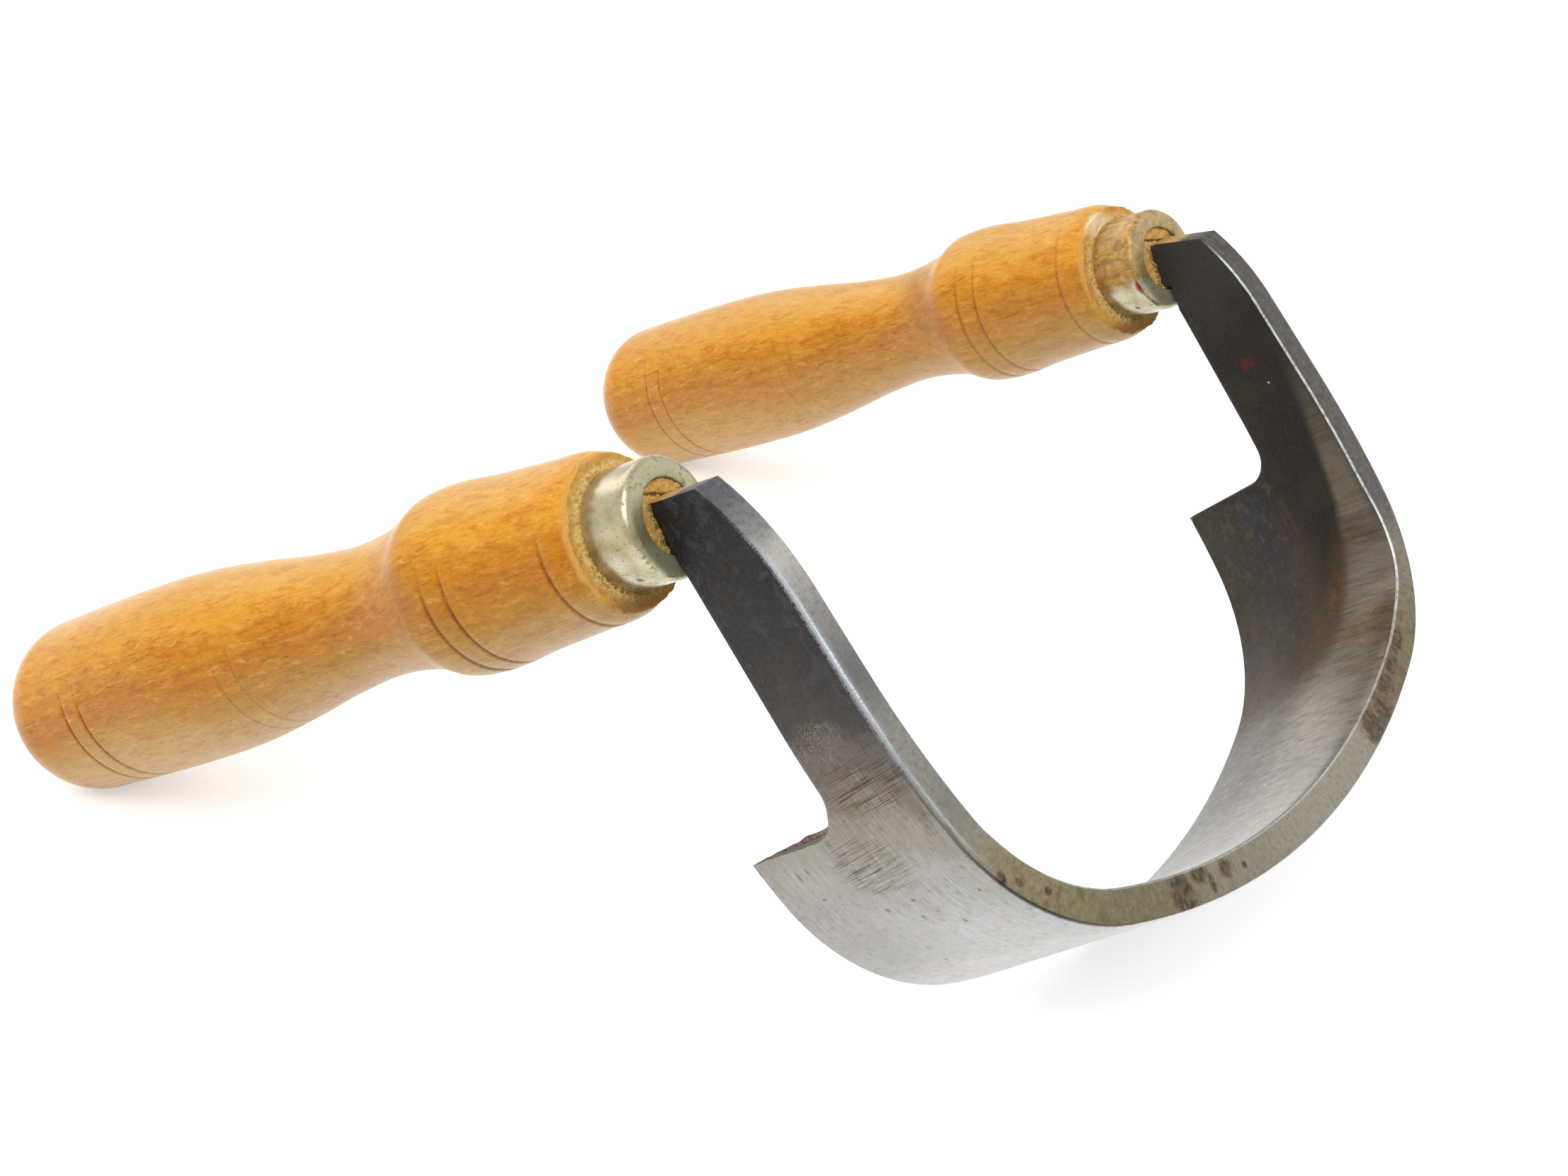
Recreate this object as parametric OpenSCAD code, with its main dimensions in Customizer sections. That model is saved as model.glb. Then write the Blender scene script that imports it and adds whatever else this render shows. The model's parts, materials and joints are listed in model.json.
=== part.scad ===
// Inshave: a forged U-shaped blade with a turned wooden handle on the tang of each arm.
// The pieces are drawn in the tool's own frame: X across the tool, Y from the spine back
// to the butts, Z up the arms from the underside of the bend. Right and left are those of
// the person who sits behind the handles, so the right-hand arm is on the -X side.
// The last step stands the tool as it lies on a bench, on its cutting edge and two butts.

/* [Blade] */
// Width over the outer faces of the two arms
blade_w = 141; // [130:1:150]
// Distance from the spine to the cutting edge
blade_l = 38.6; // [36:0.2:42]
// Thickness at the spine
spine_t = 5.7; // [5.2:0.1:6.2]
// Thickness left at the cutting edge
edge_t = 0.15; // [0.1:0.05:0.4]
// How far the cutting edge is set in from the outer corner of the spine
edge_set = 1.7; // [1:0.1:2]
// Width of the bevels along the spine
spine_bevel = 0.7; // [0.3:0.1:1]
// Outer radius of the shallow bottom of the bend
bottom_r = 124.5; // [115:0.5:130]
// Sweep of the shallow bottom to each side of its middle, in degrees
bottom_sweep = 22; // [18:0.5:23]
// Outer radius of the easing between the bend's corners and the straight arms
ease_r = 134; // [100:1:160]
// Slope at which a corner of the bend gives way to the easing, in degrees
ease_slope = 80; // [76:0.5:84]

/* [Arms] */
// Height of the top of the right arm
right_arm_h = 93.3; // [91:0.1:95]
// Height of the top of the left arm
left_arm_h = 89.6; // [88:0.1:92]
// Height of the shoulder cut in the right arm
right_shoulder_h = 43.5; // [38:0.5:48]
// Height of the shoulder cut in the left arm
left_shoulder_h = 47.2; // [38:0.5:48]
// Width of the right arm at the handle
right_arm_w = 15.4; // [14.8:0.1:15.6]
// Width of the left arm at the handle
left_arm_w = 13.7; // [12.4:0.1:14.4]
// Width of the right arm just above its shoulder
right_low_w = 16.8; // [15.5:0.1:18]
// Width of the left arm just above its shoulder
left_low_w = 16; // [15:0.1:18]
// Radius in the inner corner of a shoulder
shoulder_fillet = 5.5; // [3:0.5:6]
// Height at which the spine of the right arm begins to roll back
right_roll_h = 73.5; // [70:0.5:78]
// Height at which the spine of the left arm begins to roll back
left_roll_h = 74.8; // [70:0.5:78]
// Radius of the spine where it rolls back
roll_r = 43.5; // [36:0.5:60]

/* [Tangs] */
// Length of a tang inside its handle
tang_l = 82; // [60:1:100]
// Thickness of a tang at the ferrule
tang_t = 4.9; // [4:0.1:5]
// Thickness of a tang at its point
tang_point_t = 2.6; // [2:0.1:3.5]
// Height of a tang's upper edge over the handle's axis, at the ferrule
tang_up = 3.1; // [2.5:0.1:3.3]
// Depth of a tang's lower edge under the handle's axis, at the ferrule
tang_down = 4.8; // [4:0.1:4.9]
// Gap between a driven tang and the wood around it
tang_gap = 0.08; // [0.05:0.01:0.2]

/* [Handles] */
// Distance of a handle's axis from the middle of the tool, at the ferrule's mouth
mouth_x = 66.8; // [66:0.1:67.4]
// Distance of the right ferrule's mouth behind the spine
right_mouth_y = 14.9; // [14.6:0.1:15.5]
// Distance of the left ferrule's mouth behind the spine
left_mouth_y = 12.3; // [12:0.1:13]
// Height of the axis at the right ferrule's mouth
right_mouth_h = 92.3; // [92:0.1:92.6]
// Height of the axis at the left ferrule's mouth
left_mouth_h = 90.3; // [90:0.1:90.6]
// Upward slope of the right handle, in degrees
right_pitch = 12.5; // [11:0.5:14]
// Upward slope of the left handle, in degrees
left_pitch = 15; // [14:0.5:16]
// Outward slope of each handle, in degrees
splay = 5; // [3:0.5:6]
// Radius of the front shoulder
shoulder_r = 11.6; // [11:0.1:12]
// Radius of the straight front, behind its shoulder
front_r = 12.9; // [12.5:0.1:13.2]
// Radius of the swelling
swell_r = 14.6; // [14.2:0.1:15]
// Radius of the waist
waist_r = 10.75; // [10:0.05:11.4]
// Radius of the grip
grip_r = 15.7; // [15:0.1:16.5]
// Rounding of the butt
butt_round = 11.8; // [8:0.1:13]
// Height of the shallow dome on the butt
butt_dome = 1; // [0.5:0.1:2]
// Width of a scribed ring
ring_w = 0.5; // [0.4:0.1:1]
// Depth of a scribed ring
ring_d = 0.3; // [0.2:0.05:0.5]
// Depth of the two worn rings in the middle of the grip
worn_ring_d = 0.1; // [0.05:0.05:0.2]

/* [Ferrules] */
// Length of a ferrule
ferrule_l = 9.1; // [8:0.1:11]
// Outer radius of a ferrule
ferrule_r = 9.1; // [8.8:0.1:9.5]
// Thickness of a ferrule's wall and rim
ferrule_t = 0.9; // [0.6:0.1:1.1]
// Radius of the hole in a ferrule's rim
ferrule_hole_r = 5.7; // [5.65:0.05:6]
// Radius at which the rim turns into the wall
ferrule_round = 1.4; // [1:0.1:1.8]
// Gap between a ferrule and the wood it is pressed on
ferrule_gap = 0.03; // [0.02:0.01:0.05]

/* [Hidden] */
$fn = 96;

RIGHT = -1;
LEFT = 1;
// Facets on each long arc of the bend
bend_fn = 240;
// Steps along a curve that is drawn as a polygon
curve_steps = 10;
// Room by which a cutting shape runs past what it cuts
over = 5;

// Value for one side of the tool
function of_side(side, right, left) = side == RIGHT ? right : left;
function arm_h(side) = of_side(side, right_arm_h, left_arm_h);
function shoulder_h(side) = of_side(side, right_shoulder_h, left_shoulder_h);
function arm_w(side) = of_side(side, right_arm_w, left_arm_w);
function low_w(side) = of_side(side, right_low_w, left_low_w);
function roll_h(side) = of_side(side, right_roll_h, left_roll_h);
function mouth_y(side) = of_side(side, right_mouth_y, left_mouth_y);
function mouth_h(side) = of_side(side, right_mouth_h, left_mouth_h);
function pitch(side) = of_side(side, right_pitch, left_pitch);

// Rounded to a thousandth, so that neighbouring stretches of the bar share their corners
function fine(v) = round(v * 1000) / 1000;

// The bend's outer curve, in X and Z: bottom arc, corner arc, easing, straight arm.
// The corner's radius is what is left of the width.
corner_r = fine((blade_w / 2 - bottom_r * sin(bottom_sweep) - ease_r * (1 - sin(ease_slope)))
    / (sin(ease_slope) - sin(bottom_sweep)));
bottom_centre = [0, bottom_r];
corner_centre = bottom_centre + (bottom_r - corner_r) * [sin(bottom_sweep), -cos(bottom_sweep)];
ease_centre = corner_centre + (corner_r - ease_r) * [sin(ease_slope), -cos(ease_slope)];
arm_end_h = max(right_arm_h, left_arm_h) + over;

// Thickness of the blade at a distance y from the spine: the inner face is full, and
// falls away faster and faster towards the edge
function thickness(y) = edge_t + (spine_t - edge_t) * (1 - pow(y / blade_l, 2));
// Inset of the outer face at a distance y from the spine
function outer_inset(y) = edge_set * y / blade_l;

// Cross-section of the bar: first number across from the outer corner, second from the spine
section = concat(
    [[spine_bevel, 0], [outer_inset(spine_bevel), spine_bevel], [edge_set, blade_l]],
    [for (i = [curve_steps : -1 : 0])
        let (y = spine_bevel + (blade_l - spine_bevel) * i / curve_steps)
        [outer_inset(y) + thickness(y), y]],
    [[spine_t - spine_bevel, 0]]);

// Point of the side view, at a distance along a handle's axis from its ferrule's mouth
// and a height over the axis
function side_point(side, along, up) =
    [mouth_y(side) + along * cos(pitch(side)) - up * sin(pitch(side)),
     mouth_h(side) + along * sin(pitch(side)) + up * cos(pitch(side))];

// Distance from the front of the wood, and radius, at each station of the turned outline
stations = [
    [0, shoulder_r],
    [2.5, (2 * shoulder_r + 3 * front_r) / 5],
    [9, front_r],
    [20, front_r + 0.45 * (swell_r - front_r)],
    [31.5, swell_r],
    [35, swell_r - 0.3],
    [38.5, waist_r + 2.15],
    [44, waist_r + 0.85],
    [53, waist_r],
    [66, waist_r + 0.9],
    [79, grip_r - 2.15],
    [92, grip_r - 0.6],
    [108, grip_r],
    [121, grip_r],
    [134, grip_r - 0.15]];
butt_start = stations[len(stations) - 1];
butt_centre_r = butt_start[1] - butt_round;
handle_l = butt_start[0] + butt_round + butt_dome;

// Distance of each scribed ring from the front of the wood, and its depth
rings = [
    [5.5, ring_d], [25, ring_d], [29.2, ring_d],
    [78, worn_ring_d], [82, worn_ring_d],
    [118, ring_d], [122.5, ring_d]];

// Slope of the outline at station i, from the stations on both sides
function rise(i) = (stations[i + 1][1] - stations[i][1]) / (stations[i + 1][0] - stations[i][0]);
function slope(i) = i == 0 ? rise(0)
    : i == len(stations) - 1 ? 0
    : (rise(i - 1) * (stations[i + 1][0] - stations[i][0])
        + rise(i) * (stations[i][0] - stations[i - 1][0]))
        / (stations[i + 1][0] - stations[i - 1][0]);
// Radius between stations i and i + 1, at the fraction s of the way, on a smooth curve
function blend(i, s) = let (w = stations[i + 1][0] - stations[i][0])
    (1 + 2 * s) * pow(1 - s, 2) * stations[i][1]
    + s * pow(1 - s, 2) * w * slope(i)
    + pow(s, 2) * (3 - 2 * s) * stations[i + 1][1]
    - pow(s, 2) * (1 - s) * w * slope(i + 1);
// Turned outline from the front shoulder to the butt, as radius and distance
blend_steps = 4;
outline = concat(
    [for (i = [0 : len(stations) - 2], s = [0 : blend_steps - 1])
        [blend(i, s / blend_steps),
         stations[i][0] + (stations[i + 1][0] - stations[i][0]) * s / blend_steps]],
    [for (a = [0 : 9 : 90])
        [butt_centre_r + butt_round * cos(a), butt_start[0] + butt_round * sin(a)]],
    [for (s = [1 : 3])
        [butt_centre_r * (1 - s / 3), handle_l - butt_dome * pow(1 - s / 3, 2)]]);
// Radius of the wood at a distance from its front, for the rings
function station_before(d, i = 0) = stations[i + 1][0] > d ? i : station_before(d, i + 1);
function wood_r(d) = let (i = station_before(d))
    blend(i, (d - stations[i][0]) / (stations[i + 1][0] - stations[i][0]));

// Directions of a handle: along its axis, towards the butt
function axis_of(side) = [side * sin(splay) * cos(pitch(side)),
    cos(splay) * cos(pitch(side)), sin(pitch(side))];
function mouth_of(side) = [side * mouth_x, mouth_y(side), mouth_h(side)];

// How far a ring of radius r, at a distance d along a handle's axis, reaches in direction v
function ring_reach(side, d, r, v) = let (a = axis_of(side))
    (mouth_of(side) + a * d) * v + r * norm(v - a * (a * v));
// How far a butt, the cutting edge and a corner of the spine reach in direction v
function butt_reach(side, v) =
    ring_reach(side, ferrule_l + butt_start[0], butt_centre_r, v) + butt_round;
function bend_reach(inset, y, v) =
    [0, y, bottom_r] * v + (bottom_r - inset) * norm([v[0], v[2]]);
function edge_reach(v) = bend_reach(edge_set, blade_l, v);
function spine_reach(v) =
    max(bend_reach(spine_bevel, 0, v), bend_reach(outer_inset(spine_bevel), spine_bevel, v));

// Direction in the tool's frame of a direction v on the bench, at a tilt and a roll
function on_tool(v, pose) =
    let (x = v[0] * cos(pose[1]) - v[2] * sin(pose[1]),
        z = v[0] * sin(pose[1]) + v[2] * cos(pose[1]))
    [x, v[1] * cos(pose[0]) - z * sin(pose[0]), v[1] * sin(pose[0]) + z * cos(pose[0])];
// Tilt and roll at which the cutting edge and both butts touch the bench, found by
// turning the tool towards whichever of them is still clear of it. A degree of tilt moves
// a butt about 2.6 mm against the edge, and a degree of roll moves the butts 2.7 mm apart.
tilt_step = 0.38;
roll_step = 0.37;
function settled(pose, turns) = turns == 0 ? pose
    : let (down = on_tool([0, 0, -1], pose),
        right = butt_reach(RIGHT, down),
        left = butt_reach(LEFT, down))
    settled([pose[0] + tilt_step * (edge_reach(down) - (right + left) / 2),
        pose[1] + roll_step * (right - left)], turns - 1);
rest = settled([40, 0], 30);
rest_down = on_tool([0, 0, -1], rest);
rest_left = on_tool([1, 0, 0], rest);
rest_back = on_tool([0, 1, 0], rest);
// Shift that puts the origin under the middle of the tool as it lies
rest_place = [
    (butt_reach(RIGHT, -rest_left) - butt_reach(LEFT, rest_left)) / 2,
    (spine_reach(-rest_back) - max(butt_reach(RIGHT, rest_back), butt_reach(LEFT, rest_back))) / 2,
    edge_reach(rest_down)];

// Stands the tool on its cutting edge and butts, over the origin
module at_rest() {
    translate(rest_place) rotate([-rest[0], rest[1], 0]) children();
}

// Puts what is drawn along +Y from the origin on the axis of one handle
module on_axis(side) {
    translate(mouth_of(side)) rotate([0, 0, -side * splay]) rotate([pitch(side), 0, 0]) children();
}

// Turns an outline of radius and distance round +Y
module turned() {
    rotate([-90, 0, 0]) rotate_extrude() children();
}

// The bar's cross-section on an arc of the given outer radius
module section_at(radius) {
    polygon([for (p = section) [fine(radius - p[0]), fine(p[1])]]);
}

// Moves a stretch of the bar to its centre, in X and Z. The last small part of the way is
// a step of its own, so that the place is exact.
module at_centre(centre) {
    x = fine(centre[0]);
    z = fine(centre[1]);
    translate([x, 0, z]) translate([centre[0] - x, 0, centre[1] - z]) children();
}

// One arc of the bar, from one slope to another
module bar_arc(centre, radius, from, to) {
    at_centre(centre)
        rotate([-90, 0, 0])
            rotate_extrude(angle = to - from, start = 90 - to, $fn = bend_fn)
                section_at(radius);
}

// One side of the bar past its bottom arc, before the arm is cut to shape
module bar_side() {
    bar_arc(corner_centre, corner_r, bottom_sweep, ease_slope);
    bar_arc(ease_centre, ease_r, ease_slope, 90);
    at_centre(ease_centre) linear_extrude(arm_end_h - ease_centre[1]) section_at(ease_r);
}

// Side view of one arm, in Y and Z: rolled spine, top, back edge, fillet and shoulder
module arm_outline(side) {
    foot = shoulder_h(side);
    roll_start = roll_h(side);
    roll_end = asin((arm_h(side) - roll_start) / roll_r);
    fillet_y = low_w(side) + shoulder_fillet;
    fillet_h = foot + shoulder_fillet;
    polygon(concat(
        [[-over, foot - over], [-over, roll_start - over]],
        [for (i = [0 : curve_steps]) let (a = roll_end * i / curve_steps)
            [roll_r * (1 - cos(a)), roll_start + roll_r * sin(a)]],
        [side_point(side, 0, tang_up), side_point(side, over, tang_up),
         [arm_w(side), mouth_h(side)]],
        [for (i = [0 : curve_steps]) let (a = 180 + 90 * i / curve_steps)
            [fillet_y + shoulder_fillet * cos(a), fillet_h + shoulder_fillet * sin(a)]],
        [[blade_l + over, foot], [blade_l + over, foot - over]]));
}

// What is cut off the bar above one shoulder, in Y and Z: all but the arm's side view,
// which stops short of the ferrule's mouth
module arm_waste(side) {
    mouth_clear = 0.6;
    difference() {
        translate([-over, shoulder_h(side)])
            square([blade_l + 2 * over, arm_end_h + over - shoulder_h(side)]);
        difference() {
            arm_outline(side);
            translate(side_point(side, -mouth_clear, 0))
                rotate(pitch(side))
                    translate([0, -ferrule_r]) square(2 * ferrule_r);
        }
    }
}

// Tang with its flats grown by a gap on every side, along +Y from inside the arm
module tang(gap = 0) {
    root = -3;
    taper = 8;
    intersection() {
        translate([-tang_t, 0, 0])
            rotate([90, 0, 90])
                linear_extrude(2 * tang_t)
                    polygon([
                        [root, tang_up - 1.2 + gap], [0, tang_up + gap],
                        [tang_l - taper + gap, 2 + gap], [tang_l + gap, 0.8 + gap],
                        [tang_l + gap, -0.8 - gap], [tang_l - taper + gap, -2 - gap],
                        [0, -tang_down - gap], [root, -tang_down - gap]]);
        translate([0, 0, -2 * tang_down])
            linear_extrude(4 * tang_down)
                polygon([
                    [-tang_t / 2 - gap, root], [tang_t / 2 + gap, root],
                    [tang_t / 2 + gap, 0], [tang_point_t / 2 + gap, tang_l + gap],
                    [-tang_point_t / 2 - gap, tang_l + gap], [-tang_t / 2 - gap, 0]]);
    }
}

// Forged blade: the bent bar, shouldered and drawn down to a tang at each end
module blade() {
    color([0.42, 0.41, 0.40])
        at_rest() {
            difference() {
                union() {
                    bar_arc(bottom_centre, bottom_r, -bottom_sweep, bottom_sweep);
                    bar_side();
                    mirror([1, 0, 0]) bar_side();
                }
                for (side = [RIGHT, LEFT])
                    translate([side * blade_w / 2 - blade_w / 4, 0, 0])
                        rotate([90, 0, 90]) linear_extrude(blade_w / 2) arm_waste(side);
            }
            for (side = [RIGHT, LEFT])
                on_axis(side) tang();
        }
}

// Turned handle, with a seat for the ferrule and a socket for the tang
module handle(side) {
    seat_r = ferrule_r - ferrule_t - ferrule_gap;
    color([0.86, 0.62, 0.32])
        at_rest() on_axis(side)
            difference() {
                turned()
                    polygon(concat(
                        [[0, ferrule_t], [seat_r, ferrule_t], [seat_r, ferrule_l]],
                        [for (p = outline) [p[0], ferrule_l + p[1]]],
                        [[0, ferrule_l + handle_l]]));
                for (ring = rings)
                    turned()
                        translate([wood_r(ring[0]), ferrule_l + ring[0]])
                            polygon([[-ring[1], 0], [ring[1], -ring_w], [ring[1], ring_w]]);
                tang(tang_gap);
            }
}

// Drawn steel ferrule: a short cup with a rounded rim turned in round the tang's hole
module ferrule(side) {
    inner_round = ferrule_round - ferrule_t;
    color([0.70, 0.69, 0.64])
        at_rest() on_axis(side)
            turned()
                polygon(concat(
                    [[ferrule_hole_r, 0]],
                    [for (a = [-90 : 15 : 0])
                        [ferrule_r - ferrule_round + ferrule_round * cos(a),
                         ferrule_round + ferrule_round * sin(a)]],
                    [[ferrule_r, ferrule_l], [ferrule_r - ferrule_t, ferrule_l],
                     [ferrule_r - ferrule_t, ferrule_t], [ferrule_hole_r, ferrule_t]]));
}

module handle_right() {
    handle(RIGHT);
}

module handle_left() {
    handle(LEFT);
}

module ferrule_right() {
    ferrule(RIGHT);
}

module ferrule_left() {
    ferrule(LEFT);
}

blade();
handle_right();
handle_left();
ferrule_right();
ferrule_left();
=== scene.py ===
"""Looks of an inshave: a forged U-shaped blade with two turned and ferruled handles.

Every piece is modelled in millimetres in the tool's own frame, with X across the tool, Y from
the spine back to the butts and Z up the arms from the underside of the bend, and is then laid
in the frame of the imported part. The spine's flat-face mount says how the tool lies there.
"""
from __future__ import annotations

import json
import logging
import math
from collections.abc import Callable, Iterable
from dataclasses import dataclass, field
from enum import Enum
from functools import cached_property

import bmesh
import bpy
from mathutils import Matrix, Vector, noise

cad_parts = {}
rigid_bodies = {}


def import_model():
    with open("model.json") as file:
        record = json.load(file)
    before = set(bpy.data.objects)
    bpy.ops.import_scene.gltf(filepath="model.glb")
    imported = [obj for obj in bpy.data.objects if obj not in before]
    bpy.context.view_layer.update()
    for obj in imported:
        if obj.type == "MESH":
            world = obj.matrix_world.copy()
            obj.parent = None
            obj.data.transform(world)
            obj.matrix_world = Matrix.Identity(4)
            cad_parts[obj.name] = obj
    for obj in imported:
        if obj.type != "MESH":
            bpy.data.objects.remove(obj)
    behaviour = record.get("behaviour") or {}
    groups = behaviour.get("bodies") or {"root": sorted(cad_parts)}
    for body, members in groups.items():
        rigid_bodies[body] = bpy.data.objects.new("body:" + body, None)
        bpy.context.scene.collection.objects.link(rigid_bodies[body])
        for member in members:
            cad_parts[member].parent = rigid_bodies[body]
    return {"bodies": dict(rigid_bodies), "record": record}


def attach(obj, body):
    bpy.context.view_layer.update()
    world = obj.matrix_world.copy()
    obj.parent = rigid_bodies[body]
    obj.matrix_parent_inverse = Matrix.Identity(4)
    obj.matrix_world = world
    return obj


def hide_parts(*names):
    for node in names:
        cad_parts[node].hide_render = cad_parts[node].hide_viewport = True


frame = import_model()

MM = 0.001
BODY = "inshave" if "inshave" in frame["bodies"] else "root"
log = logging.getLogger("inshave")

Colour = tuple[float, float, float]
Pair = tuple[float, float]
Socket = bpy.types.NodeSocket


class Side(Enum):
    """Side of the tool, as the sign of X, for the person who sits behind the handles."""

    RIGHT = -1
    LEFT = 1


def to_linear(colour: Colour) -> tuple[float, float, float, float]:
    """Turn a colour as it shows on a screen into the renderer's linear values.

    Args:
        colour: Red, green and blue from 0 to 1.

    Returns:
        The same colour in linear values, with an alpha of 1.
    """
    bend, gamma = 0.04045, 2.4
    parts = [c / 12.92 if c <= bend else ((c + 0.055) / 1.055) ** gamma for c in colour]
    return (parts[0], parts[1], parts[2], 1.0)


def smooth(share: float) -> float:
    """Smooth step of a share, from 0 to 1."""
    share = min(1.0, max(0.0, share))
    return share * share * (3 - 2 * share)


def follow(at: float, line: tuple[Pair, ...]) -> float:
    """Height of a line through a few points.

    Args:
        at: Where to read it.
        line: Its points, in order.

    Returns:
        The height, level past both ends.
    """
    for (low, start), (high, end) in zip(line, line[1:]):
        if at <= high:
            return start + (end - start) * max(0.0, at - low) / (high - low)
    return line[-1][1]


@dataclass(frozen=True)
class ToolFrame:
    """Place of the tool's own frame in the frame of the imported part.

    Attributes:
        matrix: From millimetres in the tool's frame to metres in the part's frame.
    """

    matrix: Matrix

    @classmethod
    def from_mount(cls, mount: dict, spine_thickness: float) -> ToolFrame:
        """Find the frame from the flat-face mount in the middle of the spine.

        Args:
            mount: The record's mount, whose axis points out of the spine.
            spine_thickness: Thickness of the spine, in millimetres.

        Returns:
            The tool's frame.
        """
        out = Vector(mount["axis"]).normalized()
        roll = math.atan2(out.x, out.z)
        across = Vector((math.cos(roll), 0.0, -math.sin(roll)))
        back = -out
        up = across.cross(back)
        turn = Matrix((across, back, up)).transposed()
        place = Vector(mount["pos_m"]) - up * spine_thickness / 2 * MM
        return cls(Matrix.Translation(place) @ turn.to_4x4() @ Matrix.Scale(MM, 4))


@dataclass(frozen=True)
class Arc:
    """One arc of the left half of the blade's outer curve, in millimetres and radians.

    Attributes:
        run: Length of the curve from the middle of the bottom to the arc.
        slope: Slope of the curve where the arc begins.
        radius: Radius of the arc.
        x: Centre of the arc across the tool.
        h: Centre of the arc up the tool.
    """

    run: float
    slope: float
    radius: float
    x: float
    h: float

    def next(self, slope: float, radius: float) -> Arc:
        """The arc of another radius that takes over from this one at a slope."""
        gap = self.radius - radius
        run = self.run + self.radius * (slope - self.slope)
        return Arc(run, slope, radius, self.x + gap * math.sin(slope), self.h - gap * math.cos(slope))


@dataclass(frozen=True)
class BladeSizes:
    """Sizes of the bent bar, in millimetres and degrees."""

    width: float = 141.0
    depth: float = 38.6
    spine: float = 5.7
    edge: float = 0.15
    edge_set: float = 1.7
    bottom_r: float = 124.5
    bottom_sweep: float = 22.0
    ease_r: float = 134.0
    ease_slope: float = 80.0

    @cached_property
    def arcs(self) -> tuple[Arc, Arc, Arc]:
        """Shallow bottom, corner and easing; the corner's radius is what is left of the width."""
        sweep, slope = math.radians(self.bottom_sweep), math.radians(self.ease_slope)
        rest = self.width / 2 - self.bottom_r * math.sin(sweep) - self.ease_r * (1 - math.sin(slope))
        bottom = Arc(0.0, 0.0, self.bottom_r, 0.0, self.bottom_r)
        corner = bottom.next(sweep, rest / (math.sin(slope) - math.sin(sweep)))
        return bottom, corner, corner.next(slope, self.ease_r)

    @cached_property
    def straight_run(self) -> float:
        """Length of the outer curve from the middle of the bottom to the straight arm."""
        return self.arcs[2].next(math.pi / 2, 0.0).run

    def inset(self, y: float) -> float:
        """Inset of the outer face at a distance from the spine."""
        return self.edge_set * y / self.depth

    def thickness(self, y: float) -> float:
        """Thickness of the bar at a distance from the spine."""
        return self.edge + (self.spine - self.edge) * (1 - (y / self.depth) ** 2)

    def run_at(self, height: float) -> float:
        """Run of the outer curve at a height on the easing or the arm."""
        top = self.arcs[2]
        fall = min(0.0, height - top.h)
        return self.straight_run + (height - top.h if fall == 0.0 else top.radius * math.asin(fall / top.radius))

    def bent(self, run: float, y: float, depth: float) -> Vector:
        """Place on the left half of the bar.

        Args:
            run: Distance along the outer curve from the middle of the bottom.
            y: Distance from the spine.
            depth: Depth under the outer face.

        Returns:
            The place in the tool's frame.
        """
        off = self.inset(y) + depth
        if run >= self.straight_run:
            return Vector((self.width / 2 - off, y, self.arcs[2].h + run - self.straight_run))
        arc = max((a for a in self.arcs if a.run <= run), key=lambda a: a.run)
        turn = arc.slope + (run - arc.run) / arc.radius
        reach = arc.radius - off
        return Vector((arc.x + reach * math.sin(turn), y, arc.h - reach * math.cos(turn)))

    def level(self, height: float, y: float, depth: float) -> Vector:
        """Place on the left easing or arm, at a height instead of a run."""
        top = self.arcs[2]
        fall = min(0.0, height - top.h)
        reach = top.radius - self.inset(y) - depth
        return Vector((top.x + math.sqrt(reach**2 - fall**2), y, height))

    def run_of(self, place: Vector) -> Vector:
        """Run, distance from the spine and depth of a place on either half.

        Args:
            place: The place in the tool's frame.

        Returns:
            The three as one vector; the run is negative on the right half.
        """
        x = abs(place.x)
        run = self.straight_run + place.z - self.arcs[2].h
        depth = self.width / 2 - x
        if place.z < self.arcs[2].h:
            for arc in reversed(self.arcs):
                turn = math.atan2(x - arc.x, arc.h - place.z)
                if turn >= arc.slope or arc.run == 0.0:
                    run = arc.run + arc.radius * (turn - arc.slope)
                    depth = arc.radius - math.hypot(x - arc.x, arc.h - place.z)
                    break
        return Vector((math.copysign(run, place.x), place.y, depth - self.inset(place.y)))


@dataclass(frozen=True)
class ArmSizes:
    """Sizes of one arm and the place of its handle, in millimetres and degrees."""

    side: Side
    top: float
    shoulder: float
    width: float
    low_width: float
    roll_start: float
    mouth_y: float
    mouth_h: float
    pitch: float
    roll_r: float = 43.5
    fillet: float = 5.5
    mouth_x: float = 66.8
    splay: float = 5.0

    @cached_property
    def handle_frame(self) -> Matrix:
        """Frame of the handle: +Z along its axis from the ferrule's mouth, +Y down the arm."""
        sign = self.side.value
        return (
            Matrix.Translation((sign * self.mouth_x, self.mouth_y, self.mouth_h))
            @ Matrix.Rotation(-sign * math.radians(self.splay), 4, "Z")
            @ Matrix.Rotation(math.radians(self.pitch), 4, "X")
            @ Matrix.Rotation(-math.pi / 2, 4, "X")
        )

    def side_point(self, along: float, up: float) -> tuple[float, float]:
        """Point of the arm's side view, along the handle's axis and over it, as Y and Z."""
        turn = math.radians(self.pitch)
        return (
            self.mouth_y + along * math.cos(turn) - up * math.sin(turn),
            self.mouth_h + along * math.sin(turn) + up * math.cos(turn),
        )

    def spine_y(self, height: float) -> float:
        """Depth of the rolled spine at a height."""
        rise = max(0.0, height - self.roll_start)
        return self.roll_r - math.sqrt(max(0.0, self.roll_r**2 - rise**2))


@dataclass(frozen=True)
class TangSizes:
    """Sizes of the tangs, in millimetres from the ferrule's mouth and the handle's axis."""

    length: float = 82.0
    thick: float = 4.9
    point_thick: float = 2.6
    up: float = 3.1
    down: float = 4.8
    root: float = -3.0
    taper: float = 8.0
    neck: float = 2.0
    point: float = 0.8


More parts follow.
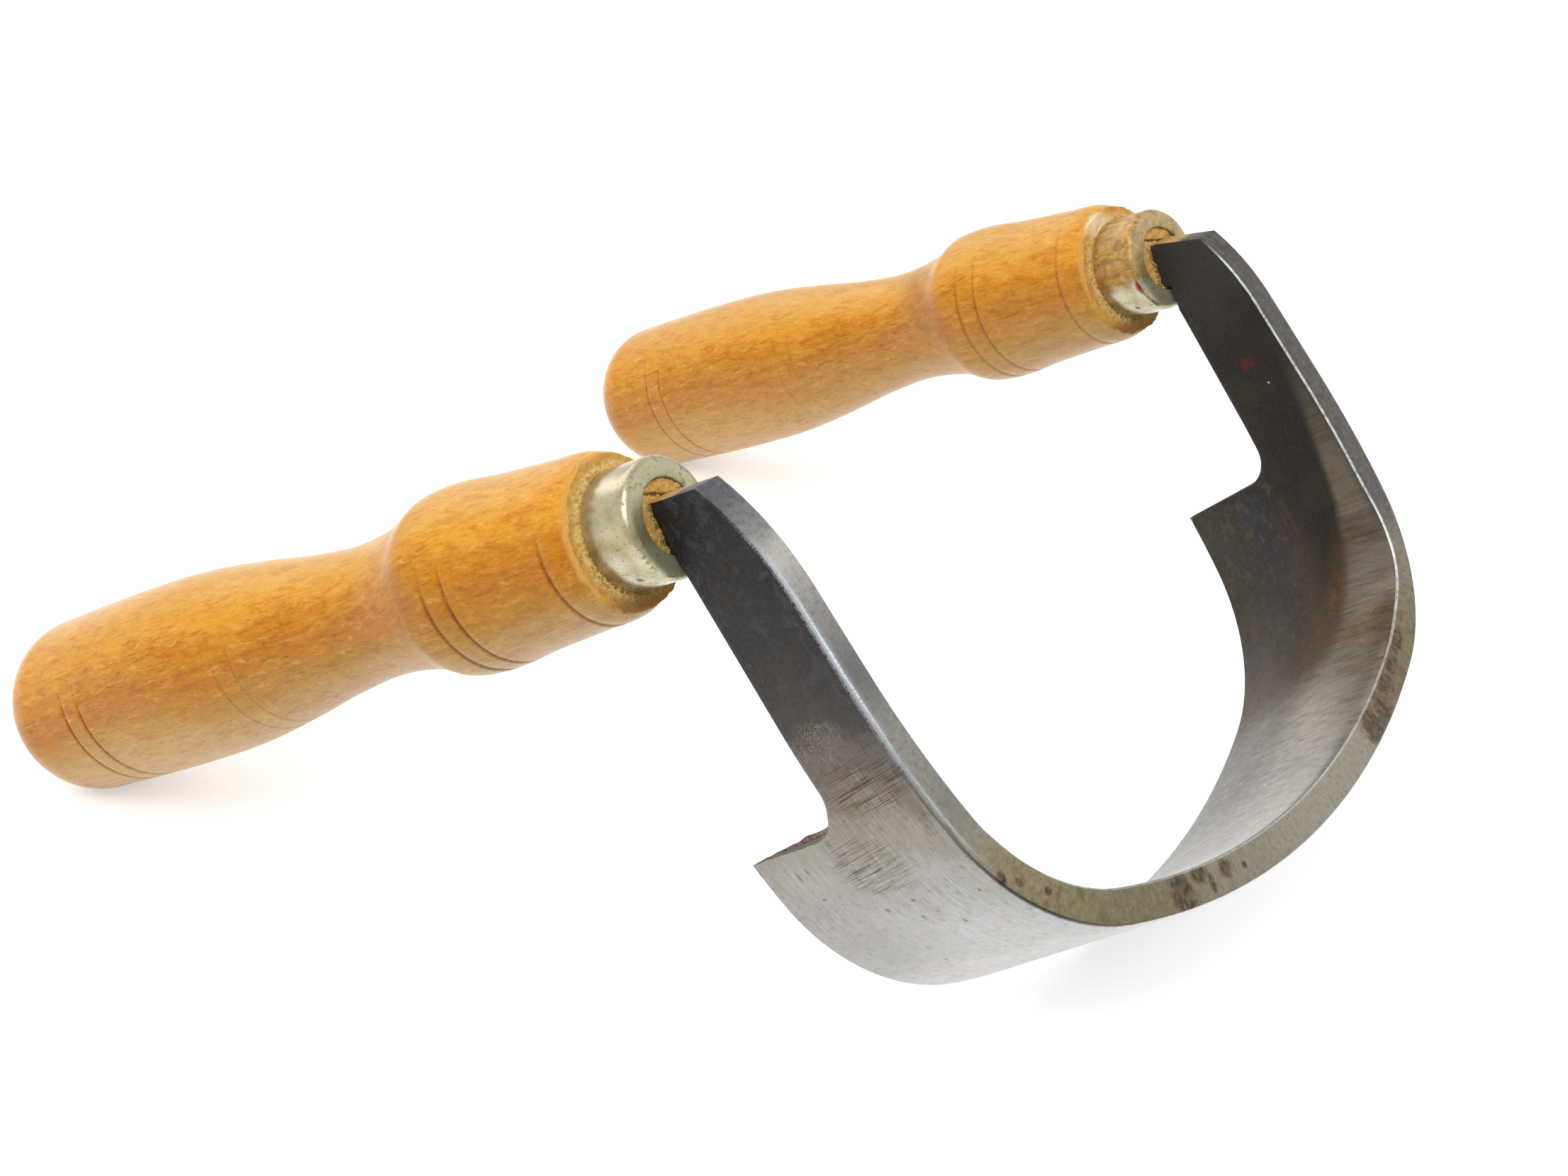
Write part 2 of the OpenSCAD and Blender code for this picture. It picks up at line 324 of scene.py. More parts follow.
@dataclass(frozen=True)
class FerruleSizes:
    """Sizes of the ferrules, in millimetres."""

    length: float = 9.1
    radius: float = 9.1
    wall: float = 0.9
    hole_r: float = 5.7
    round_r: float = 1.4


@dataclass(frozen=True)
class HandleSizes:
    """Sizes of the turned wood, in millimetres from the front shoulder."""

    stations: tuple[tuple[float, float], ...] = (
        (0.0, 11.6), (2.5, 12.38), (9.0, 12.9), (20.0, 13.665), (31.5, 14.6), (35.0, 14.3),
        (38.5, 12.9), (44.0, 11.6), (53.0, 10.75), (66.0, 11.65), (79.0, 13.55), (92.0, 15.1),
        (108.0, 15.7), (121.0, 15.7), (134.0, 15.55),
    )
    butt_round: float = 11.8
    butt_dome: float = 1.0
    rings: tuple[Pair, ...] = (
        (5.5, 0.3), (25.0, 0.3), (29.2, 0.3), (78.0, 0.1), (82.0, 0.1), (118.0, 0.3), (122.5, 0.3),
    )
    ring_width: float = 0.5

    def _slope(self, i: int) -> float:
        """Slope of the outline at a station."""
        s = self.stations
        if i == len(s) - 1:
            return 0.0
        after = (s[i + 1][1] - s[i][1]) / (s[i + 1][0] - s[i][0])
        if i == 0:
            return after
        before = (s[i][1] - s[i - 1][1]) / (s[i][0] - s[i - 1][0])
        ahead, behind = s[i + 1][0] - s[i][0], s[i][0] - s[i - 1][0]
        return (before * ahead + after * behind) / (ahead + behind)

    def radius(self, along: float) -> float:
        """Radius of the wood at a distance from its front, without the rings.

        Args:
            along: Distance from the front shoulder.

        Returns:
            The radius on a smooth curve through the stations.
        """
        s = self.stations
        i = max(k for k in range(len(s) - 1) if s[k][0] <= along or k == 0)
        width = s[i + 1][0] - s[i][0]
        t = min(1.0, (along - s[i][0]) / width)
        return (
            (1 + 2 * t) * (1 - t) ** 2 * s[i][1]
            + t * (1 - t) ** 2 * width * self._slope(i)
            + t**2 * (3 - 2 * t) * s[i + 1][1]
            - t**2 * (1 - t) * width * self._slope(i + 1)
        )

    def cut(self, along: float) -> float:
        """Depth of the scribed rings at a distance from the front."""
        return max(depth * max(0.0, 1 - abs(along - ring) / self.ring_width) for ring, depth in self.rings)


class Shaper:
    """A bmesh in the tool's frame, with the few steps that several pieces share."""

    def __init__(self, layers: tuple[str, ...] = ()) -> None:
        """Start empty, with the named vector layers on its vertices."""
        self.bm = bmesh.new()
        for layer in layers:
            self.bm.verts.layers.float_vector.new(layer)

    def loop(self, points: Iterable[Vector | tuple[float, float, float]]) -> list[bmesh.types.BMVert]:
        """Draw a closed line.

        Args:
            points: Its corners in order.

        Returns:
            Its vertices.
        """
        verts = [self.bm.verts.new(p) for p in points]
        for pair in zip(verts, verts[1:] + verts[:1]):
            self.bm.edges.new(pair)
        return verts

    def lift(self, chain: list[bmesh.types.BMVert], places: Iterable[Vector], closed: bool = True
             ) -> list[bmesh.types.BMVert]:
        """Draw a line out into a wall, each of its vertices to a place of its own.

        Args:
            chain: Vertices of the line in order.
            places: Where the far side of each goes.
            closed: Whether the line is a loop.

        Returns:
            The far vertices in the same order.
        """
        pairs = list(zip(chain, chain[1:])) + ([(chain[-1], chain[0])] if closed else [])
        edges = [self.bm.edges.get(pair) for pair in pairs]
        made = bmesh.ops.extrude_edge_only(self.bm, edges=edges)["geom"]
        fresh = {v for v in made if isinstance(v, bmesh.types.BMVert)}
        moved = []
        for vert, place in zip(chain, places):
            twin = next(e.other_vert(vert) for e in vert.link_edges if e.other_vert(vert) in fresh)
            twin.co = place
            moved.append(twin)
        return moved

    def spin(
        self, edges: list[bmesh.types.BMEdge], centre: Vector, axis: Vector, angle: float, steps: int,
        closed: bool = False,
    ) -> list[bmesh.types.BMEdge]:
        """Turn a line about an axis into a wall.

        Args:
            edges: The line.
            centre: A point on the axis.
            axis: Direction of the axis.
            angle: Turn in degrees.
            steps: Number of steps.
            closed: Whether the wall closes on itself.

        Returns:
            The last edges.
        """
        geom = list(edges) + list({v for e in edges for v in e.verts})
        made = bmesh.ops.spin(
            self.bm, geom=geom, cent=centre, axis=axis, dvec=(0, 0, 0), angle=math.radians(angle),
            steps=steps, use_merge=closed, use_normal_flip=False, use_duplicate=False,
        )["geom_last"]
        return [e for e in made if isinstance(e, bmesh.types.BMEdge)]

    def cap(self) -> None:
        """Close every open end."""
        open_edges = [e for e in self.bm.edges if e.is_boundary]
        if open_edges:
            bmesh.ops.holes_fill(self.bm, edges=open_edges, sides=0)

    def merge(self, distance: float = 1e-4) -> None:
        """Join vertices that lie together and turn every face outwards."""
        bmesh.ops.remove_doubles(self.bm, verts=self.bm.verts, dist=distance)
        bmesh.ops.recalc_face_normals(self.bm, faces=self.bm.faces)

    def displace(self, shift: Callable[[Vector], Vector]) -> None:
        """Move each vertex by a function of its place."""
        for v in self.bm.verts:
            v.co += shift(v.co)

    def to_object(self, name: str, place: Matrix = Matrix.Identity(4)) -> bpy.types.Object:
        """Make an object of the mesh.

        Args:
            name: Name of the object.
            place: Matrix that the mesh goes through.

        Returns:
            The object, at the origin.
        """
        bmesh.ops.transform(self.bm, matrix=place, verts=self.bm.verts)
        mesh = bpy.data.meshes.new(name)
        self.bm.to_mesh(mesh)
        self.bm.free()
        obj = bpy.data.objects.new(name, mesh)
        bpy.context.scene.collection.objects.link(obj)
        return obj


def finish_piece(obj: bpy.types.Object, node: str, place: Matrix, angle: float = 30.0) -> None:
    """Args:
        obj: The piece, in millimetres in the tool's frame.
        node: The node that it replaces.
        place: The tool's frame.
        angle: Angle in degrees past which an edge stays sharp.
    """
    obj.data.transform(place)
    for polygon in obj.data.polygons:
        polygon.use_smooth = True
    obj.data.set_sharp_from_angle(angle=math.radians(angle))
    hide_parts(node)
    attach(obj, BODY)
    low, high = (
        [min(v.co[k] for v in obj.data.vertices) for k in range(3)],
        [max(v.co[k] for v in obj.data.vertices) for k in range(3)],
    )
    log.info("%s: %d faces, box %s to %s", obj.name, len(obj.data.polygons),
             [round(c / MM, 1) for c in low], [round(c / MM, 1) for c in high])


class Graph:
    """Node graph of one material, with short calls for its nodes."""

    def __init__(self, name: str) -> None:
        """Start a material with one plain shader.

        Args:
            name: Name of the material.
        """
        self.material = bpy.data.materials.new(name)
        self.material.use_nodes = True
        self.nodes = self.material.node_tree.nodes
        self.links = self.material.node_tree.links
        self.shader = self.nodes["Principled BSDF"]

    def _feed(self, socket: Socket, value: Socket | float | tuple) -> None:
        """Link a socket, or set its value."""
        if isinstance(value, bpy.types.NodeSocket):
            self.links.new(value, socket)
        else:
            socket.default_value = value

    def place(self, frame_matrix: Matrix) -> Socket:
        """Object coordinates seen from another frame, in millimetres.

        Args:
            frame_matrix: That frame's matrix, without a scale.

        Returns:
            The coordinates.
        """
        coords = self.nodes.new("ShaderNodeTexCoord")
        mapping = self.nodes.new("ShaderNodeMapping")
        mapping.vector_type = "TEXTURE"
        mapping.inputs["Location"].default_value = frame_matrix.to_translation()
        mapping.inputs["Rotation"].default_value = frame_matrix.to_euler()
        mapping.inputs["Scale"].default_value = (MM, MM, MM)
        self.links.new(coords.outputs["Object"], mapping.inputs["Vector"])
        return mapping.outputs["Vector"]

    def attribute(self, name: str) -> Socket:
        """A vector layer of the mesh."""
        node = self.nodes.new("ShaderNodeAttribute")
        node.attribute_name = name
        return node.outputs["Vector"]

    def around(self, vector: Socket) -> tuple[Socket, Socket, Socket]:
        """Direction of a place seen from the third axis, and its distance from that axis."""
        flat = self.scale(vector, (1.0, 1.0, 0.0))
        turned = self.nodes.new("ShaderNodeVectorMath")
        turned.operation = "NORMALIZE"
        self.links.new(flat, turned.inputs[0])
        length = self.nodes.new("ShaderNodeVectorMath")
        length.operation = "LENGTH"
        self.links.new(flat, length.inputs[0])
        x, y, _ = self.split(turned.outputs["Vector"])
        return x, y, length.outputs["Value"]

    def turn(self, vector: Socket, degrees: float) -> Socket:
        """A vector turned about its third axis."""
        node = self.nodes.new("ShaderNodeMapping")
        node.inputs["Rotation"].default_value = (0.0, 0.0, math.radians(degrees))
        self.links.new(vector, node.inputs["Vector"])
        return node.outputs["Vector"]

    def centred(self, value: Socket, size: float) -> Socket:
        """A noise moved to lie about 0, and made larger."""
        return self.math("MULTIPLY", self.math("SUBTRACT", value, 0.5), size)

    def blend(self, share: Socket, a: Socket, b: Socket) -> Socket:
        """Value between two others."""
        node = self.nodes.new("ShaderNodeMix")
        for socket, value in zip(node.inputs[0:1] + node.inputs[2:4], (share, a, b)):
            self.links.new(value, socket)
        return node.outputs[0]

    def ramp(self, value: Socket, stops: tuple[tuple[float, Colour], ...]) -> Socket:
        """Colour that changes along a value, smoothly from stop to stop."""
        first, last = stops[0][0], stops[-1][0]
        share = self.math("DIVIDE", self.math("SUBTRACT", value, first), last - first, clamp=True)
        node = self.nodes.new("ShaderNodeValToRGB")
        node.color_ramp.interpolation = "EASE"
        elements = node.color_ramp.elements
        for _ in stops[2:]:
            elements.new(0.5)
        for element, (place, colour) in zip(elements, stops):
            element.position = (place - first) / (last - first)
            element.color = to_linear(colour)
        self.links.new(share, node.inputs["Fac"])
        return node.outputs["Color"]

    def split(self, vector: Socket) -> tuple[Socket, Socket, Socket]:
        """The three parts of a vector."""
        node = self.nodes.new("ShaderNodeSeparateXYZ")
        self.links.new(vector, node.inputs[0])
        return node.outputs[0], node.outputs[1], node.outputs[2]

    def math(self, operation: str, a: Socket | float, b: Socket | float = 0.0, clamp: bool = False) -> Socket:
        """One sum.

        Args:
            operation: Name of the operation.
            a: First value.
            b: Second value.
            clamp: Whether the result stays between 0 and 1.

        Returns:
            The result.
        """
        node = self.nodes.new("ShaderNodeMath")
        node.operation = operation
        node.use_clamp = clamp
        self._feed(node.inputs[0], a)
        self._feed(node.inputs[1], b)
        return node.outputs[0]

    def scale(self, vector: Socket, factors: tuple[float, float, float]) -> Socket:
        """A vector with each part multiplied."""
        node = self.nodes.new("ShaderNodeVectorMath")
        node.operation = "MULTIPLY"
        self.links.new(vector, node.inputs[0])
        node.inputs[1].default_value = factors
        return node.outputs[0]

    def rise(self, value: Socket, low: float, high: float) -> Socket:
        """Smooth step from 0 at low to 1 at high; high may be the smaller one."""
        node = self.nodes.new("ShaderNodeMapRange")
        node.interpolation_type = "SMOOTHSTEP"
        self.links.new(value, node.inputs["Value"])
        first, last = min(low, high), max(low, high)
        node.inputs["From Min"].default_value = first
        node.inputs["From Max"].default_value = last
        node.inputs["To Min"].default_value = 0.0 if low <= high else 1.0
        node.inputs["To Max"].default_value = 1.0 if low <= high else 0.0
        return node.outputs["Result"]

    def band(self, value: Socket, middle: float, half: float) -> Socket:
        """Smooth bump that is 1 at the middle and 0 past half its width."""
        away = self.math("ABSOLUTE", self.math("SUBTRACT", value, middle))
        return self.rise(away, half, 0.0)

    def spot(self, vector: Socket, middle: tuple[float, float, float], size: tuple[float, float, float],
             ragged: Socket | None = None, amount: float = 0.6) -> Socket:
        """Smooth blob about a place.

        Args:
            vector: Coordinates.
            middle: Its middle.
            size: Its half sizes.
            ragged: Noise that breaks its outline.
            amount: How far the noise moves the outline.

        Returns:
            1 in the middle, 0 outside.
        """
        node = self.nodes.new("ShaderNodeMapping")
        node.vector_type = "TEXTURE"
        node.inputs["Location"].default_value = middle
        node.inputs["Scale"].default_value = size
        self.links.new(vector, node.inputs["Vector"])
        length = self.nodes.new("ShaderNodeVectorMath")
        length.operation = "LENGTH"
        self.links.new(node.outputs[0], length.inputs[0])
        away = length.outputs["Value"]
        if ragged is not None:
            away = self.math("ADD", away, self.math("MULTIPLY", self.math("SUBTRACT", ragged, 0.5), amount * 2))
        return self.rise(away, 1.0, 0.45)

    def noise(self, vector: Socket, scale: float, detail: float = 4.0, rough: float = 0.55,
              twist: float = 0.0) -> Socket:
        """Cloudy noise.

        Args:
            vector: Coordinates in millimetres.
            scale: Features per millimetre.
            detail: Number of finer layers.
            rough: Strength of the finer layers.
            twist: Distortion.

        Returns:
            A value about 0.5.
        """
        node = self.nodes.new("ShaderNodeTexNoise")
        self.links.new(vector, node.inputs["Vector"])
        node.inputs["Scale"].default_value = scale
        node.inputs["Detail"].default_value = detail
        node.inputs["Roughness"].default_value = rough
        node.inputs["Distortion"].default_value = twist
        return node.outputs["Fac"]

    def mix(self, share: Socket | float, a: Socket | Colour, b: Socket | Colour) -> Socket:
        """Colour between two others.

        Args:
            share: 0 for the first and 1 for the second.
            a: First colour.
            b: Second colour.

        Returns:
            The mixed colour.
        """
        node = self.nodes.new("ShaderNodeMix")
        node.data_type = "RGBA"
        self._feed(node.inputs["Factor"], share)
        for socket, colour in ((node.inputs[6], a), (node.inputs[7], b)):
            self._feed(socket, colour if isinstance(colour, bpy.types.NodeSocket) else to_linear(colour))
        return node.outputs[2]

    def tint(self, share: Socket | float, base: Socket, colour: Colour) -> Socket:
        """Base multiplied by a colour, as far as share says."""
        node = self.nodes.new("ShaderNodeMix")
        node.data_type = "RGBA"
        node.blend_type = "MULTIPLY"
        self._feed(node.inputs["Factor"], share)
        self._feed(node.inputs[6], base)
        node.inputs[7].default_value = to_linear(colour)
        return node.outputs[2]

    def bump(self, height: Socket, strength: float, depth: float, under: Socket | None = None) -> Socket:
        """Normal with small relief.

        Args:
            height: Relief from 0 to 1.
            strength: Share of the relief that shows.
            depth: Height of the relief in millimetres.
            under: Normal that the relief lies on.

        Returns:
            The normal.
        """
        node = self.nodes.new("ShaderNodeBump")
        node.inputs["Strength"].default_value = strength
        node.inputs["Distance"].default_value = depth * MM
        self.links.new(height, node.inputs["Height"])
        if under is not None:
            self.links.new(under, node.inputs["Normal"])
        return node.outputs["Normal"]

    def finish(self, colour: Socket, rough: Socket | float, metal: Socket | float = 0.0,
               normal: Socket | None = None, specular: float = 0.5) -> bpy.types.Material:
        """Feed the shader.

        Args:
            colour: Base colour.
            rough: Roughness.
            metal: How metallic the surface is.
            normal: Its normal.
            specular: How much a surface that isn't metallic shines.

        Returns:
            The material.
        """
        self._feed(self.shader.inputs["Base Color"], colour)
        self._feed(self.shader.inputs["Roughness"], rough)
        self._feed(self.shader.inputs["Metallic"], metal)
        self.shader.inputs["Specular IOR Level"].default_value = specular
        if normal is not None:
            self.links.new(normal, self.shader.inputs["Normal"])
        return self.material


@dataclass(frozen=True)
class Grain:
    """Noises that the faces of the blade share.

    Attributes:
        cloud: Soft clouds of about 10 mm.
        grain: Spots of about 1 mm.
        fine: The finest spots.
        along: Scratches along the bar.
        across: Scratches across the bar, a little aslant.
    """

    cloud: Socket
    grain: Socket
    fine: Socket
    along: Socket
    across: Socket


@dataclass(frozen=True)
class SteelFinish:
    """Finish of the blade: forge-black arms, a bright ground bend and a tarnished spine.

    It is laid out along the bar: the run from the middle of the bottom, negative on the right,
    and the distance from the spine, both in millimetres.
    """

    blue: Colour = (0.30, 0.305, 0.33)
    soot: Colour = (0.11, 0.09, 0.07)
    olive: Colour = (0.21, 0.185, 0.14)
    halo: Colour = (0.36, 0.26, 0.155)
    white: Colour = (0.90, 0.92, 0.95)
    red: Colour = (0.45, 0.13, 0.08)
    rust: Colour = (0.215, 0.15, 0.12)
    dust: Colour = (0.78, 0.63, 0.39)
    outer_run: tuple[tuple[float, Colour], ...] = (
        (50.0, (0.80, 0.80, 0.80)), (60.0, (0.695, 0.70, 0.695)), (68.0, (0.68, 0.68, 0.68)),
        (78.0, (0.61, 0.605, 0.59)), (88.0, (0.55, 0.53, 0.495)), (94.0, (0.46, 0.425, 0.385)),
        (101.0, (0.39, 0.36, 0.33)), (107.0, (0.255, 0.235, 0.215)), (113.0, (0.20, 0.185, 0.175)),
        (120.0, (0.15, 0.143, 0.138)), (132.0, (0.10, 0.096, 0.094)),
    )
    inner_run: tuple[tuple[float, Colour], ...] = (
        (14.0, (0.58, 0.56, 0.53)), (30.0, (0.61, 0.585, 0.54)), (38.0, (0.60, 0.57, 0.52)),
        (46.0, (0.57, 0.53, 0.475)), (54.0, (0.49, 0.45, 0.395)), (62.0, (0.42, 0.38, 0.335)),
        (69.0, (0.445, 0.41, 0.375)), (76.0, (0.41, 0.375, 0.335)), (90.0, (0.37, 0.34, 0.295)),
        (102.0, (0.30, 0.28, 0.24)), (116.0, (0.22, 0.205, 0.18)),
    )
    spine_run: tuple[tuple[float, Colour], ...] = (
        (-141.0, (0.36, 0.37, 0.39)), (-134.0, (0.48, 0.485, 0.49)), (-127.0, (0.70, 0.69, 0.67)),
        (-118.0, (0.52, 0.515, 0.505)), (-98.0, (0.52, 0.515, 0.49)), (-84.0, (0.53, 0.52, 0.475)),
        (-70.0, (0.52, 0.48, 0.37)), (-44.0, (0.455, 0.425, 0.33)), (-20.0, (0.52, 0.495, 0.43)),
        (4.0, (0.57, 0.555, 0.50)), (22.0, (0.57, 0.55, 0.495)), (36.0, (0.45, 0.39, 0.30)),
        (54.0, (0.46, 0.42, 0.33)), (70.0, (0.50, 0.465, 0.42)), (84.0, (0.33, 0.32, 0.31)),
        (120.0, (0.31, 0.305, 0.29)),
    )
    spots: tuple[tuple[float, float, float, float], ...] = (
        (-76.2, 21.5, 0.55, 0.45), (-76.2, 15.7, 0.45, 0.5), (-72.8, 17.3, 0.5, 0.4),
        (-73.7, 4.1, 0.5, 0.4), (-69.2, 12.2, 0.6, 0.5), (-86.7, 31.6, 1.3, 0.24),
        (-81.9, 30.4, 0.35, 0.5), (-61.5, 25.3, 0.55, 0.35),
        (-58.9, 6.7, 0.4, 0.3), (-87.0, 29.4, 0.9, 0.2),
    )

    blots: tuple[tuple[float, float, float, float], ...] = (
        (-35.6, 2.6, 3.4, 4.6), (-30.6, 4.6, 2.6, 2.0), (-28.3, 2.6, 0.9, 2.0), (-24.2, 3.7, 2.0, 1.9),
        (-19.6, 2.8, 0.8, 0.8), (-73.5, 0.9, 1.4, 1.1), (-70.3, 2.0, 1.1, 0.9), (-64.8, 3.1, 1.0, 0.9),
        (28.4, 2.7, 4.0, 4.4), (33.6, 2.6, 3.0, 3.0), (38.5, 4.0, 3.6, 1.9), (43.6, 4.0, 3.4, 1.8),
        (49.5, 4.3, 4.4, 1.6),
    )

    def _outer(self, g: Graph, run: Socket, grain: Grain) -> tuple[Socket, Socket]:
        """Outer face: black scale on the arm, a purple-brown belt and the ground bend.

        Args:
            g: The graph.
            run: Run, distance from the spine and depth.
            grain: The noises that the faces share.

        Returns:
            The colour and how ground it is.
        """
        s, y, _ = g.split(run)
        up = g.math("ABSOLUTE", s)
        wander = g.math("ADD", g.centred(grain.cloud, 7.0), g.math("ADD", g.centred(grain.along, 7.0), g.centred(grain.grain, 6.0)))
        level = g.math("ADD", g.math("ADD", up, g.math("MULTIPLY", g.rise(y, 8.0, 2.0), 4.5)), wander)
        level = g.math("SUBTRACT", level, g.math("MULTIPLY", g.rise(y, 14.0, 26.0), 5.0))
        ground = g.rise(level, 108.0, 92.0)
        colour = g.ramp(level, self.outer_run)
        scored = g.math("MULTIPLY", g.rise(grain.along, 0.50, 0.66), 0.24)
        colour = g.tint(g.math("MULTIPLY", scored, ground), colour, (0.76, 0.73, 0.69))
        colour = g.mix(g.math("MULTIPLY", g.math("MULTIPLY", g.rise(grain.along, 0.46, 0.34), ground), 0.14), colour, self.white)
        colour = g.tint(g.math("MULTIPLY", g.rise(grain.grain, 0.56, 0.72), 0.35), colour, (0.66, 0.62, 0.58))
        dots = g.math("MULTIPLY", g.rise(grain.fine, 0.60, 0.68), g.rise(grain.grain, 0.44, 0.56))
        colour = g.tint(g.math("MULTIPLY", dots, 0.5), colour, (0.66, 0.63, 0.60))
        mottle = g.noise(g.scale(run, (0.5, 0.95, 1.0)), 1.0, 5.0, 0.72, 0.5)
        colour = g.tint(g.math("MULTIPLY", g.math("MULTIPLY", g.rise(mottle, 0.56, 0.70), ground), 0.55), colour, (0.74, 0.71, 0.66))
        tone = g.noise(run, 0.2, 4.0, 0.65)
        colour = g.tint(g.math("MULTIPLY", g.rise(tone, 0.50, 0.64), ground), colour, (0.975, 0.98, 0.955))
        colour = g.tint(g.math("MULTIPLY", g.rise(tone, 0.50, 0.36), ground), colour, (0.985, 0.965, 0.96))
        low = g.math("MULTIPLY", g.rise(y, 12.0, 34.0), g.rise(up, 88.0, 70.0))
        colour = g.tint(low, colour, (0.89, 0.88, 0.875))
        # The scale on the arm is blotched blue and brown, and pitted
        blotch = g.noise(run, 0.30, 7.0, 0.72, 0.5)
        scaly = g.rise(level, 102.0, 112.0)
        colour = g.mix(g.math("MULTIPLY", g.math("MULTIPLY", g.rise(blotch, 0.52, 0.60), scaly), 0.26), colour, self.blue)
        colour = g.mix(g.math("MULTIPLY", g.math("MULTIPLY", g.rise(blotch, 0.47, 0.38), scaly), 0.3), colour, (0.27, 0.20, 0.16))
        pits = g.math("MULTIPLY", g.rise(grain.fine, 0.60, 0.70), scaly)
        colour = g.mix(g.math("MULTIPLY", pits, 0.35), colour, (0.42, 0.41, 0.42))
        colour = g.mix(g.math("MULTIPLY", g.math("MULTIPLY", g.rise(grain.fine, 0.40, 0.30), scaly), 0.7), colour, (0.03, 0.03, 0.03))
        speck = g.math("MULTIPLY", g.spot(run, (-103.0, 11.0, 0.0), (4.5, 7.0, 9.0)), g.rise(grain.fine, 0.48, 0.64))
        colour = g.mix(g.math("MULTIPLY", speck, 0.42), colour, (0.60, 0.57, 0.53))
        # Short dark scratches across the bar, in two patches
        hatch = g.math("MAXIMUM", g.spot(run, (-95.0, 8.0, 0.0), (5.5, 12.0, 9.0), grain.cloud),
                       g.spot(run, (-84.0, 17.5, 0.0), (7.0, 9.5, 9.0), grain.cloud))
        lines = g.noise(g.scale(g.turn(run, 3.0), (5.0, 0.10, 1.0)), 1.0, 4.0, 0.65)
        hatch = g.math("MULTIPLY", hatch, g.rise(lines, 0.50, 0.58))
        colour = g.tint(g.math("MULTIPLY", hatch, 0.85), colour, (0.60, 0.55, 0.50))
        for spot_run, spot_y, half_run, half_y in self.spots:
            spot = g.spot(run, (spot_run, spot_y, 0.0), (half_run, half_y, 2.0), grain.fine)
            colour = g.mix(g.math("MULTIPLY", spot, 0.6), colour, (0.30, 0.26, 0.23))
        return colour, ground

    def _inner(self, g: Graph, run: Socket, grain: Grain) -> tuple[Socket, Socket]:
        """Inner face: sooty behind a slanting line, brown along that line and light in front.

        Args:
            g: The graph.
            run: Run, distance from the spine and depth.
            grain: The noises that the faces share.

        Returns:
            The colour and how ground it is.
        """
        s, y, _ = g.split(run)
        up = g.math("ABSOLUTE", s)
        fall = g.math("EXPONENT", g.math("MULTIPLY", g.math("POWER", g.math("DIVIDE", y, 9.6), 1.45), -1.0))
        line = g.math("ADD", 44.0, g.math("MULTIPLY", fall, 72.0))
        wander = g.math("ADD", g.centred(grain.cloud, 7.0), g.centred(grain.across, 2.5))
        over = g.math("ADD", g.math("SUBTRACT", up, line), wander)
        # The line is sharp near the spine and fades out towards the edge
        spread = g.math("ADD", 5.0, g.math("MULTIPLY", g.rise(y, 8.0, 20.0), 8.0))
        spread = g.math("ADD", spread, g.math("MULTIPLY", g.rise(y, 5.0, 1.0), 6.0))
        ground = g.rise(g.math("DIVIDE", over, spread), 1.0, -1.0)
        dark = g.mix(g.rise(grain.cloud, 0.42, 0.62), self.soot, (0.15, 0.13, 0.10))
        dark = g.mix(g.math("MULTIPLY", g.spot(run, (78.0, 25.0, 5.0), (20.0, 9.0, 20.0), grain.grain), 0.75),
                     dark, (0.175, 0.18, 0.205))
        behind = g.rise(g.math("ADD", y, g.centred(grain.cloud, 10.0)), 20.0, 33.0)
        dark = g.mix(g.math("MULTIPLY", behind, g.rise(up, 106.0, 86.0)), dark, self.olive)
        dark = g.mix(g.math("MULTIPLY", g.math("MULTIPLY", behind, g.rise(up, 78.0, 50.0)), 0.9), dark, (0.375, 0.355, 0.34))
        # Temper colours: blue and olive clouds away from the spine
        temper = g.noise(g.scale(run, (0.7, 1.0, 1.0)), 0.42, 5.0, 0.7, 0.4)
        away = g.rise(y, 13.0, 20.0)
        dark = g.mix(g.math("MULTIPLY", g.math("MULTIPLY", g.rise(temper, 0.52, 0.62), away), 0.5), dark, (0.34, 0.31, 0.235))
        dark = g.mix(g.math("MULTIPLY", g.math("MULTIPLY", g.rise(temper, 0.48, 0.38), away), 0.5), dark, (0.235, 0.245, 0.28))
        streak = g.spot(run, (86.5, 16.7, 5.0), (5.5, 0.8, 9.0), grain.grain)
        dark = g.mix(g.math("MULTIPLY", streak, 0.4), dark, (0.33, 0.22, 0.15))
        middle = g.math("MULTIPLY", g.band(g.math("ADD", y, g.centred(grain.grain, 8.0)), 18.5, 7.5), g.rise(up, 96.0, 74.0))
        dark = g.mix(g.math("MULTIPLY", middle, 0.6), dark, (0.29, 0.24, 0.20))
        dark = g.mix(g.math("MULTIPLY", g.rise(g.math("ADD", up, g.centred(grain.grain, 12.0)), 118.0, 134.0), 0.7),
                     dark, (0.215, 0.21, 0.20))
        dark = g.tint(g.math("MULTIPLY", g.rise(grain.grain, 0.54, 0.70), 0.5), dark, (0.62, 0.60, 0.58))
        dark = g.mix(g.math("MULTIPLY", g.rise(grain.fine, 0.50, 0.64), 0.35), dark, (0.27, 0.235, 0.165))
        dark = g.mix(g.math("MULTIPLY", g.rise(grain.fine, 0.47, 0.34), 0.5), dark, (0.115, 0.12, 0.14))
        dark = g.mix(g.math("MULTIPLY", g.rise(grain.across, 0.54, 0.70), 0.2), dark, (0.25, 0.235, 0.22))
        light = g.ramp(up, self.inner_run)
        light = g.tint(g.rise(y, 6.0, 24.0), light, (0.83, 0.83, 0.835))
        light = g.tint(g.math("MULTIPLY", g.rise(y, 2.0, 12.0), g.rise(up, 34.0, 18.0)), light, (0.86, 0.855, 0.85))
